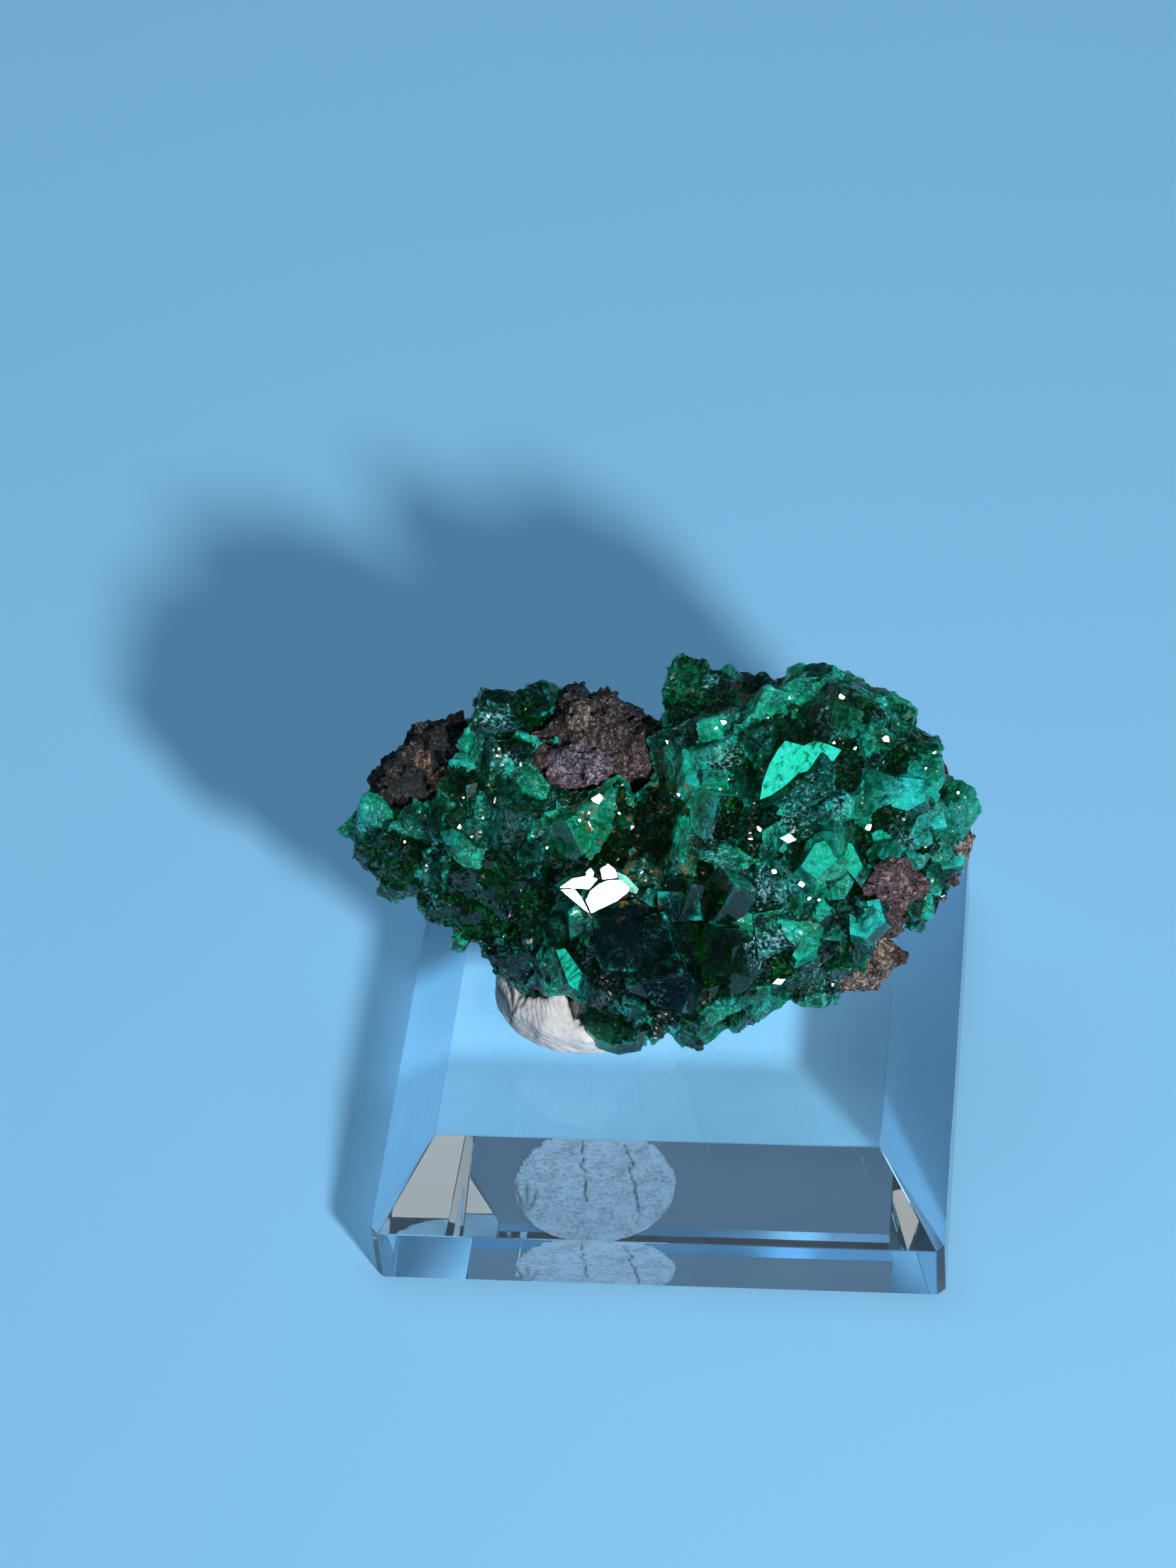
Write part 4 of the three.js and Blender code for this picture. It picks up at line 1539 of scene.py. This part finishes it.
@dataclass
class DioptaseCrust:
    """The crust of dioptase crystals, its main crystals from the CAD node and the small ones grown on it.

    The surface is broken into coarse and fine facets, from under to over the main crystals, but for the
    smooth zones; the fine ones are harsher in some places. Small crystals keep druse_gap from the rock and
    grow in groups, more of them at the two ends, which lie end_reach from end_middle. A glint or a flat face
    is a hull that widens to its foot, and the mesh's faces belong to a flat face when they lie within
    break_slack of its plane. A scale is how fast a noise changes, per millimetre.
    """

    finish: DioptaseGlass
    camera: PhotoCamera
    lamp_at: Point
    node: str = "dioptase_crystals"
    step: float = 0.30
    rounding: int = 3
    coarse: Shards = Shards(3.0, 0.16, 0.30, 1.0)
    fine: Shards = Shards(1.1, 0.20, 0.10, 9.0)
    longest_edge: float = 0.9
    under: float = -0.30
    over: float = 0.06
    clean_edge: float = 5.0
    fine_least: float = 0.25
    fine_usual: float = 0.6
    fine_swing: float = 1.6
    fine_scale: float = 0.24
    crumbs: float = 0.07
    crumb_scale: float = 2.6
    druse_gap: float = 0.42
    group_scale: float = 0.22
    druse_from: float = 0.16
    end_druse_from: float = -0.10
    end_middle: float = -1.0
    end_reach: float = 16.0
    glint_proud: float = 0.22
    glint_depth: float = 1.2
    glint_foot: float = 1.3
    glint_sides: tuple[int, int] = (4, 7)
    glint_reach: tuple[float, float] = (0.28, 0.52)
    glint_jitter: float = 0.3
    break_depth: float = 1.8
    break_foot: float = 1.15
    break_reach: float = 6.0
    break_slack: float = 0.03
    break_cosine: float = 0.9995
    hue_spread: float = 0.5
    patch_rim: float = 1.15
    patch_edge: float = 0.6
    patch_wander: float = 0.35
    wander_scales: tuple[float, float] = (0.9, 2.3)
    wander_fine: float = 0.5
    layers: tuple[Druse, ...] = (
        Druse(2.6, 0.60, 1.00, 0.7, 11),
        Druse(1.6, 0.28, 0.55, 0.8, 12),
    )
    smooth: tuple[SmoothZone, ...] = (
        SmoothZone((0.2, -8.4, 7.7), 4.4),
        SmoothZone((2.4, -4.4, 8.0), 2.6),
        SmoothZone((-8.1, -6.6, 6.0), 2.4),
        SmoothZone((6.2, -3.6, 8.1), 2.6),
        SmoothZone((6.2, -9.0, 6.5), 3.2),
        SmoothZone((11.9, 7.4, 9.4), 3.6),
        SmoothZone((5.1, 3.6, 9.1), 2.6),
        SmoothZone((15.0, 0.0, 9.4), 2.2),
        SmoothZone((21.8, 5.9, 6.3), 1.8),
        SmoothZone((-7.7, 1.3, 7.4), 2.0),
    )
    glints: tuple[Glint, ...] = (
        Glint((843, 1127), 1.6, 1.0, 30.0),
        Glint((1112, 1183), 1.4, 1.2, -20.0),
        Glint((1072, 1170), 0.9, 0.35, -60.0),
        Glint((1224, 1167), 0.8, 0.8, 10.0),
        Glint((1187, 983), 0.8, 0.7, 0.0),
        Glint((1250, 1042), 0.9, 0.7, 15.0),
        Glint((1206, 1055), 0.4, 0.4, 0.0),
        Glint((1099, 1385), 1.2, 0.8, 10.0),
        Glint((1131, 1246), 0.8, 0.8, 40.0),
        Glint((1141, 1267), 0.4, 0.4, 0.0),
        Glint((1155, 1269), 0.3, 0.3, 30.0),
        Glint((1134, 1075), 0.5, 0.5, 0.0),
        Glint((1020, 1019), 1.0, 0.6, 0.0),
        Glint((957, 1120), 0.7, 0.6, 25.0),
        Glint((1066, 1323), 0.6, 0.45, -30.0),
        Glint((1351, 1118), 0.35, 0.35, -30.0),
        Glint((647, 1166), 0.5, 0.5, 0.0),
        Glint((622, 1180), 0.4, 0.4, 20.0),
        Glint((817, 1157), 0.3, 0.35, 0.0),
        Glint((873, 1147), 0.35, 0.35, 0.0),
        Glint((570, 1187), 0.35, 0.35, 0.0),
    )
    breaks: tuple[BreakFace, ...] = (
        BreakFace(
            ((833, 1257), (846, 1247), (858, 1242), (876, 1242), (888, 1252), (884, 1260), (870, 1271),
             (834, 1288), (827, 1270)),
            True, (0, 0), 0.1, 0.3, 0.9,
            (
                ((790, 1252), (807, 1240), (827, 1236), (843, 1240), (831, 1254), (812, 1253)),
                ((791, 1255), (811, 1255), (820, 1266), (831, 1288), (820, 1280)),
                ((847, 1226), (858, 1219), (869, 1228), (871, 1238), (850, 1240)),
                ((827, 1230), (833, 1225), (838, 1231), (836, 1238), (828, 1237)),
            ),
        ),
        BreakFace(
            ((822, 1384), (886, 1372), (905, 1440), (896, 1470), (868, 1475), (845, 1468), (828, 1454),
             (820, 1420)),
            False, (-15, -6), -0.22, 0.1, 0.5,
        ),
        BreakFace(
            ((871, 1230), (884, 1236), (901, 1254), (898, 1261), (886, 1257), (873, 1241)),
            True, (4, -3), 0.5, 0.9, 0.9,
        ),
        BreakFace(
            ((836, 1288), (872, 1272), (896, 1268), (917, 1296), (946, 1315), (950, 1334), (893, 1371),
             (849, 1368), (839, 1345)),
            False, (-8, -10), -0.30, -0.6, 0.2,
        ),
        BreakFace(
            ((896, 1373), (957, 1338), (978, 1385), (965, 1424), (920, 1418)),
            False, (-4, -18), -0.36, 1.0,
        ),
        BreakFace(((927, 1257), (985, 1260), (990, 1298), (930, 1302)), False, (-6, -8), -0.12, 0.6),
        BreakFace(((993, 1308), (1047, 1312), (1050, 1372), (990, 1376)), False, (-4, -6), -0.16, 0.2),
        BreakFace(((1062, 1290), (1104, 1282), (1116, 1330), (1070, 1350)), False, (-8, 2), -0.10, 0.4),
        BreakFace(
            ((1072, 1128), (1076, 1104), (1085, 1079), (1097, 1058), (1108, 1045), (1134, 1052),
             (1130, 1088), (1108, 1108), (1088, 1122)),
            False, (-4, 22), 0.80, 0.50, 1.2,
            (
                ((1131, 1053), (1149, 1045), (1168, 1050), (1187, 1058), (1176, 1074), (1158, 1082),
                 (1127, 1091)),
            ),
        ),
        BreakFace(((992, 1087), (1026, 1086), (1027, 1102), (991, 1103)), False, (-20, 0), 0.36, -0.1, 0.2),
        BreakFace(((657, 1108), (673, 1104), (674, 1136), (660, 1142)), False, (-10, 20), 0.32, 0.5, 0.2),
        BreakFace(
            ((784, 1340), (797, 1338), (821, 1372), (814, 1397), (803, 1390)),
            False, (-8, -18), 0.75, 0.45, 0.5,
        ),
        BreakFace(
            ((1160, 1296), (1180, 1290), (1198, 1305), (1186, 1327), (1158, 1326)),
            False, (-10, 12), 0.32, 0.0, 0.2,
        ),
        BreakFace(
            ((1198, 1276), (1240, 1268), (1249, 1300), (1222, 1324), (1199, 1318)),
            False, (-15, -10), 0.40, 0.6, 0.2,
        ),
        BreakFace(
            ((1118, 1347), (1134, 1322), (1156, 1317), (1152, 1340), (1124, 1354)),
            False, (-20, 5), 0.26, 0.1, 0.2,
        ),
        BreakFace(
            ((1130, 1222), (1150, 1190), (1172, 1183), (1182, 1212), (1152, 1240)),
            False, (-18, 16), 0.24, 0.0, 0.2,
        ),
        BreakFace(
            ((1176, 1185), (1202, 1190), (1217, 1222), (1206, 1240), (1184, 1214)),
            False, (-16, -16), 0.30, 0.0, 0.2,
        ),
        BreakFace(
            ((1155, 1243), (1183, 1217), (1205, 1243), (1192, 1268), (1168, 1270)),
            False, (12, 0), 0.20, 0.0, 0.2,
        ),
        BreakFace(
            ((1252, 1108), (1270, 1096), (1303, 1100), (1305, 1130), (1280, 1144), (1258, 1138)),
            False, (-14, -6), 0.34, 0.8, 0.2,
        ),
        BreakFace(
            ((1305, 1147), (1330, 1145), (1336, 1166), (1316, 1170)),
            False, (-14, 8), 0.30, 0.7, 0.2,
        ),
        BreakFace(
            ((1325, 1210), (1362, 1206), (1358, 1220), (1330, 1227)),
            False, (-20, 0), 0.34, 0.6, 0.2,
        ),
    )
    # Patches of lightness and hue; their tone is partly the crystals' own, partly painted shade in cavities
    # and crevices and painted light on bright translucent spots
    patches: tuple[Patch, ...] = (
        Patch((735, 980), 3.6, -0.50, 0.6),
        Patch((560, 1190), 5.5, -0.24, 0.1),
        Patch((696, 1026), 2.3, 0.16, 0.5, 1.0),
        Patch((712, 1078), 1.3, 0.20, 0.6, 1.0),
        Patch((716, 1176), 2.2, 0.18, 0.5),
        Patch((716, 1214), 2.2, -0.34, 0.4),
        Patch((742, 1158), 1.0, 0.36, 0.9),
        Patch((745, 1136), 2.6, 0.20, 0.0),
        Patch((776, 1132), 1.3, 0.26, 0.8, 0.3),
        Patch((815, 1170), 4.6, -0.02, -0.5),
        Patch((884, 1205), 2.4, -0.14, -0.2),
        Patch((640, 1146), 1.8, 0.18, 0.2),
        Patch((940, 1092), 2.2, 0.20, -0.2),
        Patch((888, 1094), 1.4, 0.24, 0.3),
        Patch((1062, 1150), 2.2, 0.24, 0.2),
        Patch((1182, 1092), 2.0, 0.22, 0.0),
        Patch((1182, 1152), 2.0, 0.26, 0.1),
        Patch((1120, 1270), 2.2, 0.26, 0.1),
        Patch((1242, 1272), 1.8, 0.22, 0.4),
        Patch((1060, 1392), 2.4, -0.18, 0.0),
        Patch((1062, 1030), 1.8, 0.14, -0.3),
        Patch((785, 1182), 2.4, 0.20, -0.3),
        Patch((840, 1200), 3.0, 0.05, -0.4),
        Patch((512, 1150), 1.8, 0.02, 0.6),
        Patch((512, 1215), 3.0, -0.32, 0.0),
        Patch((762, 1396), 2.2, -0.34, 0.2),
        Patch((845, 1372), 1.6, -0.34, 0.1),
        Patch((958, 1168), 2.2, 0.30, -0.7),
        Patch((610, 1232), 1.5, 0.28, 0.8),
        Patch((655, 1196), 2.0, -0.06, 0.2),
        Patch((677, 1212), 0.9, 0.30, -0.5),
        Patch((725, 1260), 3.6, -0.46, 0.6),
        Patch((640, 1290), 4.2, -0.34, 0.3),
        Patch((700, 1350), 4.8, -0.42, 0.4),
        Patch((875, 1290), 3.0, -0.36, -0.4),
        Patch((798, 1306), 2.2, 0.06, -0.3),
        Patch((900, 1390), 6.4, -0.40, 0.2),
        Patch((925, 1408), 1.3, 0.10, 0.5, 0.9),
        Patch((950, 1290), 3.6, -0.30, 0.3),
        Patch((1010, 1370), 4.6, -0.34, -0.1),
        Patch((1040, 1264), 1.8, 0.10, -0.5),
        Patch((960, 1430), 3.4, -0.30, 0.2),
        Patch((1042, 1434), 3.6, -0.26, 0.1),
        Patch((1110, 1412), 2.4, -0.18, 0.0),
        Patch((960, 955), 1.8, 0.05, -0.1),
        Patch((1005, 960), 1.0, 0.30, 0.7, 0.9),
        Patch((1068, 952), 2.6, -0.36, 0.8),
        Patch((1140, 965), 2.6, 0.10, -0.4),
        Patch((1154, 965), 0.6, 0.30, -0.5),
        Patch((1244, 992), 0.9, 0.36, 0.5, 0.6),
        Patch((1145, 1022), 2.4, -0.50),
        Patch((1070, 1014), 2.2, 0.18, -0.5),
        Patch((955, 1075), 2.2, 0.42, 0.1),
        Patch((978, 1100), 0.7, 0.50, 0.9),
        Patch((1024, 1066), 2.0, 0.02, 0.3, 0.8),
        Patch((1015, 1160), 3.0, -0.04, 0.1, 0.5),
        Patch((1040, 1175), 1.2, 0.34, 0.9, 0.4),
        Patch((1010, 1210), 1.6, -0.06, 0.3, 0.9),
        Patch((1150, 1112), 3.0, -0.08, 0.2, 0.6),
        Patch((1188, 1134), 1.7, 0.04, 0.4, 1.0),
        Patch((1120, 1150), 2.0, 0.12, 0.4, 0.8),
        Patch((1240, 1080), 2.4, 0.04, 0.1),
        Patch((1230, 1150), 1.6, -0.20, 0.1),
        Patch((1101, 1208), 1.3, -0.34, -0.5),
        Patch((1175, 1228), 3.8, 0.54, -0.20),
        Patch((1150, 1120), 9.0, 0.18, 0.1),
        Patch((1000, 1080), 6.0, 0.14, 0.0),
        Patch((1230, 1010), 4.0, 0.24, 0.1),
        Patch((1300, 1160), 5.0, 0.24, 0.3),
        Patch((1122, 1252), 1.2, 0.36, 0.9, 0.6),
        Patch((1087, 1250), 2.2, 0.00, 0.5, 1.0),
        Patch((1083, 1340), 2.6, -0.04, 0.4, 1.0),
        Patch((1278, 1120), 2.4, 0.18, 0.8, 0.5),
        Patch((1330, 1050), 2.4, -0.02, 0.5, 0.6),
        Patch((1300, 1020), 2.2, 0.04, 0.5, 0.5),
        Patch((1279, 1178), 1.0, 0.10, 0.6, 1.0),
        Patch((1320, 1190), 1.6, -0.16, -0.2),
        Patch((1345, 1245), 1.4, 0.26, 0.7, 0.4),
        Patch((1215, 1300), 2.4, 0.14, 0.6),
        Patch((1160, 1385), 3.0, 0.02, 0.2, 0.5),
        Patch((1232, 1255), 1.8, 0.10, 0.2),
    )

    def build(self) -> bpy.types.Object:
        """Makes the crust, grows its small crystals and stores what its material reads.

        Returns:
            The finished piece.
        """
        clean = [(on_face(zone.at), zone.radius) for zone in self.smooth]
        piece = even_mesh(merged_copy(self.node, "dioptase_crust"), self.step, self.rounding)
        move_points(piece, lambda place, normal: place + normal * self._growth(place, clean))
        LOG.info("broken surface: %d triangles", triangles(piece))
        rock = search_tree(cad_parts["matrix_rock"])
        ground = surface_part(piece, "druse_ground", lambda at: self._grows(at, rock, clean))
        combine(piece, self._clean_crystals(clean))
        template, material = crystal_shape(), self.finish.material()
        for layer in self.layers:
            base = object_from(bmesh_of(ground), "druse_base")
            combine(piece, layer.grow(base, template, material))
            LOG.info("druse at %.1f mm: %d triangles so far", layer.spacing, triangles(piece))
        drop(template)
        drop(ground)
        search = search_tree(piece)
        placed = [found for face in self.breaks if (found := self._place_break(search, face))]
        added = [hull(points, "break_face") for found in placed for points in found.solids]
        added += [solid for glint in self.glints if (solid := self._glint_solid(search, glint))]
        combine(piece, reduce(combine, added))
        split_long_edges(piece, self.longest_edge)
        piece.data.shade_flat()
        self._store_facets(piece.data, placed)
        self._store_patches(piece)
        self._store_bends(piece.data)
        return finish_piece(piece, self.node, material)

    def _clean_crystals(self, clean: Sequence[tuple[Vector, float]]) -> bpy.types.Object:
        """The main crystals with their flat faces and sharp edges, cut out where they show clean.

        Args:
            clean: the centres and radii of the clean zones, in millimetres.

        Returns:
            The pieces of the main crystals as one object.
        """
        balls = []
        for centre, radius in clean:
            work = bmesh.new()
            place = Matrix.Translation(centre * MM)
            bmesh.ops.create_icosphere(work, subdivisions=3, radius=radius * MM, matrix=place)
            balls.append(object_from(work, "clean_ball"))
        return combine(merged_copy(self.node, "clean_crystals"), reduce(combine, balls), Joining.INTERSECT)

    def _growth(self, place: Vector, clean: Sequence[tuple[Vector, float]]) -> float:
        """How far the broken surface stands out from the main crystals.

        Args:
            place: the place, in millimetres.
            clean: the centres and radii of the clean zones, in millimetres.

        Returns:
            The distance, in millimetres; below 0 it lies under them.
        """
        inside = max(1.0 - (place - centre).length / radius for centre, radius in clean)
        share = min(1.0, max(0.0, 0.5 + inside * self.clean_edge))
        harsh = self.fine_usual + self.fine_swing * noise.noise(place * self.fine_scale)
        harsh = min(1.0, max(self.fine_least, harsh))
        broken = self.coarse.at(place)[0] + harsh * self.fine.at(place)[0]
        broken = broken + self.crumbs * noise.noise(place * self.crumb_scale)
        return share * self.under + (1 - share) * (self.over + broken)

    def _grows(self, at: Vector, rock: BVHTree, clean: Sequence[tuple[Vector, float]]) -> bool:
        """Whether small crystals may stand at a place on the crust.

        Args:
            at: the place, in millimetres.
            rock: the search tree of the rock.
            clean: the centres and radii of the clean zones, in millimetres.

        Returns:
            True where they may.
        """
        ends = abs(at.x - self.end_middle) > self.end_reach
        if rock.find_nearest(at * MM)[3] < self.druse_gap * MM:
            return False
        if noise.noise(at * self.group_scale) < (self.end_druse_from if ends else self.druse_from):
            return False
        return all((at - centre).length > radius for centre, radius in clean)

    def _hit(self, search: BVHTree, pixel: Pixel) -> Vector | None:
        """Where a pixel of the photograph meets a mesh, in millimetres."""
        found = search.ray_cast(self.camera.place() * MM, self.camera.ray(pixel))[0]
        return None if found is None else found / MM

    def _glint_solid(self, search: BVHTree, glint: Glint) -> bpy.types.Object | None:
        """A small crystal with one facet turned so that it mirrors the key lamp into the camera.

        Args:
            search: the search tree of the crust.
            glint: where its facet shows, and its size.

        Returns:
            The crystal, or None where its pixel misses the crust.
        """
        at = self._hit(search, glint.pixel)
        if at is None:
            return None
        towards = (self.camera.place() - at).normalized() + (Vector(self.lamp_at) - at).normalized()
        turn = towards.to_track_quat("Z", "Y") @ Quaternion((0, 0, 1), math.radians(glint.turn))
        chance = np.random.default_rng(int(glint.pixel[0]))
        sides = int(chance.integers(*self.glint_sides))
        points = []
        for i in range(sides):
            angle = (i + chance.uniform(-self.glint_jitter, self.glint_jitter)) * math.tau / sides
            reach = chance.uniform(*self.glint_reach)
            x, y = math.cos(angle) * reach * glint.width, math.sin(angle) * reach * glint.height
            points.append(at + turn @ Vector((x, y, self.glint_proud)))
            points.append(at + turn @ Vector((x * self.glint_foot, y * self.glint_foot, -self.glint_depth)))
        return hull(points, "glint")

    def _place_break(self, search: BVHTree, face: BreakFace) -> PlacedFace | None:
        """Finds where a flat face lies in the crust.

        Args:
            search: the search tree of the crust.
            face: the face's outline, lie and look.

        Returns:
            The face in its place, or None where its middle misses the crust.
        """
        middle = Vector((0.0, 0.0))
        for corner in face.outline:
            middle += Vector(corner) / len(face.outline)
        at = self._hit(search, tuple(middle))
        if at is None:
            return None
        eye = self.camera.place()
        right, up, _ = self.camera.directions()
        normal = (eye - at).normalized()
        if face.mirror:
            normal = (normal + (Vector(self.lamp_at) - at).normalized()).normalized()
        nodded, turned = map(math.radians, face.leans)
        normal = Quaternion(up, turned) @ Quaternion(right, nodded) @ normal
        at = at + normal * face.proud
        solids = [self._solid(outline, at, normal) for outline in (face.outline, *face.parts)]
        return PlacedFace(at, normal, face, solids)

    def _solid(self, outline: Outline, at: Vector, normal: Vector) -> list[Vector]:
        """The corners of a solid whose flat top shows as an outline in the photograph.

        Args:
            outline: the outline, in pixels.
            at: a point on the top, in millimetres.
            normal: the way that the top faces.

        Returns:
            The corners of its top and of its wider foot, in millimetres.
        """
        eye = self.camera.place()
        rays = [self.camera.ray(corner) for corner in outline]
        top = [eye + ray * ((at - eye).dot(normal) / ray.dot(normal)) for ray in rays]
        middle = sum(top, Vector()) / len(top)
        foot = [middle + (point - middle) * self.break_foot - normal * self.break_depth for point in top]
        return top + foot

    def _store_facets(self, mesh: bpy.types.Mesh, placed: Sequence[PlacedFace]) -> None:
        """Stores a number for each flat facet, and the hue and lightness of the faces that stand out: painted
        light on bright ones and painted shade on dark ones.

        Args:
            mesh: the crust's mesh.
            placed: the flat faces set into it.
        """
        normals = numbers(mesh.polygons, "normal", 3)
        centres = numbers(mesh.polygons, "center", 3) / MM
        areas = numbers(mesh.polygons, "area")
        _, labels = np.unique(self._facet_labels(mesh, normals), return_inverse=True)
        weight = np.bincount(labels, areas) + 1e-12
        middle = np.stack([np.bincount(labels, areas * centres[:, k]) / weight for k in range(3)], 1)
        facet = np.array([self.coarse.at(Vector(place))[1] for place in middle])[labels]
        hue = (np.random.default_rng(8).random(len(weight)) * self.hue_spread)[labels]
        glow = np.zeros(len(mesh.polygons))
        for found in placed:
            way, normal = centres - np.array(found.point), np.array(found.normal)
            lies = (np.abs(way @ normal) < self.break_slack) & (normals @ normal > self.break_cosine)
            lies &= np.linalg.norm(way, axis=1) < self.break_reach
            # The face's glow: painted light where above 0, painted shade where below
            glow[lies] = found.face.glow
            hue[lies] = found.face.teal
        store(mesh, "FACE", {"facet": facet, "hue": hue, "glow": glow})

    def _store_patches(self, piece: bpy.types.Object) -> None:
        """Stores what the soft patches add at each vertex.

        Args:
            piece: the crust.
        """
        search = search_tree(piece)
        places = numbers(piece.data.vertices, "co", 3) / MM
        ragged = np.array([self._ragged(Vector(place)) for place in places])
        added = {name: np.zeros(len(places)) for name in ("tone", "teal", "sugar")}
        for patch in self.patches:
            at = self._hit(search, patch.pixel)
            if at is None:
                continue
            away = np.linalg.norm(places - np.array(at), axis=1) / patch.radius
            share = (self.patch_rim - away + self.patch_wander * ragged) / self.patch_edge
            share = np.clip(share, 0.0, 1.0)
            added["tone"] += patch.tone * share
            added["teal"] += patch.teal * share
            added["sugar"] = np.maximum(added["sugar"], patch.sugar * share)
        store(piece.data, "POINT", added)

    def _ragged(self, place: Vector) -> float:
        """How far a soft patch's edge wanders at a place given in millimetres."""
        broad, fine = (noise.noise(place * scale) for scale in self.wander_scales)
        return broad + self.wander_fine * fine

    @staticmethod
    def _store_bends(mesh: bpy.types.Mesh) -> None:
        """Stores how the surface bends at each vertex: above 0 in a hollow, below 0 on a ridge.

        Args:
            mesh: the crust's mesh.
        """
        places, normals = numbers(mesh.vertices, "co", 3), numbers(mesh.vertices, "normal", 3)
        start, end = numbers(mesh.edges, "vertices", 2, np.int64).T
        way = places[end] - places[start]
        way /= np.linalg.norm(way, axis=1, keepdims=True) + 1e-9
        ends, others = np.concatenate([start, end]), np.concatenate([end, start])
        rises = np.concatenate([(normals[start] * way).sum(1), -(normals[end] * way).sum(1)])
        count = len(places)
        shared = np.bincount(ends, minlength=count) + 1e-9
        bend = np.bincount(ends, rises, count) / shared
        bend = (bend + np.bincount(ends, bend[others], count) / shared) / 2
        store(mesh, "POINT", {"bend": bend})

    @staticmethod
    def _facet_labels(mesh: bpy.types.Mesh, normals: np.ndarray, flat_cosine: float = 0.9998) -> np.ndarray:
        """One label for all faces that lie flat against each other.

        Args:
            mesh: the crust's mesh.
            normals: its faces' normals.
            flat_cosine: the cosine of the largest angle between two faces that counts as flat.

        Returns:
            A label for each face.
        """
        edges = numbers(mesh.loops, "edge_index", kind=np.int64)
        totals = numbers(mesh.polygons, "loop_total", kind=np.int64)
        faces = np.repeat(np.arange(len(mesh.polygons)), totals)
        order = np.argsort(edges, kind="stable")
        edges, faces = edges[order], faces[order]
        same = np.flatnonzero(edges[1:] == edges[:-1])
        first, second = faces[same], faces[same + 1]
        flat = np.einsum("ij,ij->i", normals[first], normals[second]) > flat_cosine
        first, second = first[flat], second[flat]
        labels = np.arange(len(mesh.polygons))
        while True:
            before = labels.copy()
            low = np.minimum(labels[first], labels[second])
            np.minimum.at(labels, first, low)
            np.minimum.at(labels, second, low)
            labels = labels[labels]
            if np.array_equal(before, labels):
                return labels


def main() -> None:
    """Builds the specimen and its studio."""
    logging.basicConfig(level=logging.INFO, format="%(name)s: %(message)s")
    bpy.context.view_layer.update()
    camera = PhotoCamera()
    camera.build()
    studio = Studio(PaleFloor())
    studio.build()
    sub_parts = (
        DisplayBlock(ClearAcrylic()),
        PuttyLump(PressedPutty(), camera),
        MatrixRock(StainedRock()),
        DioptaseCrust(DioptaseGlass(), camera, studio.key_at),
    )
    for sub_part in sub_parts:
        piece = sub_part.build()
        LOG.info("%s: %d triangles", piece.name, triangles(piece))


if __name__ == "__main__":
    main()
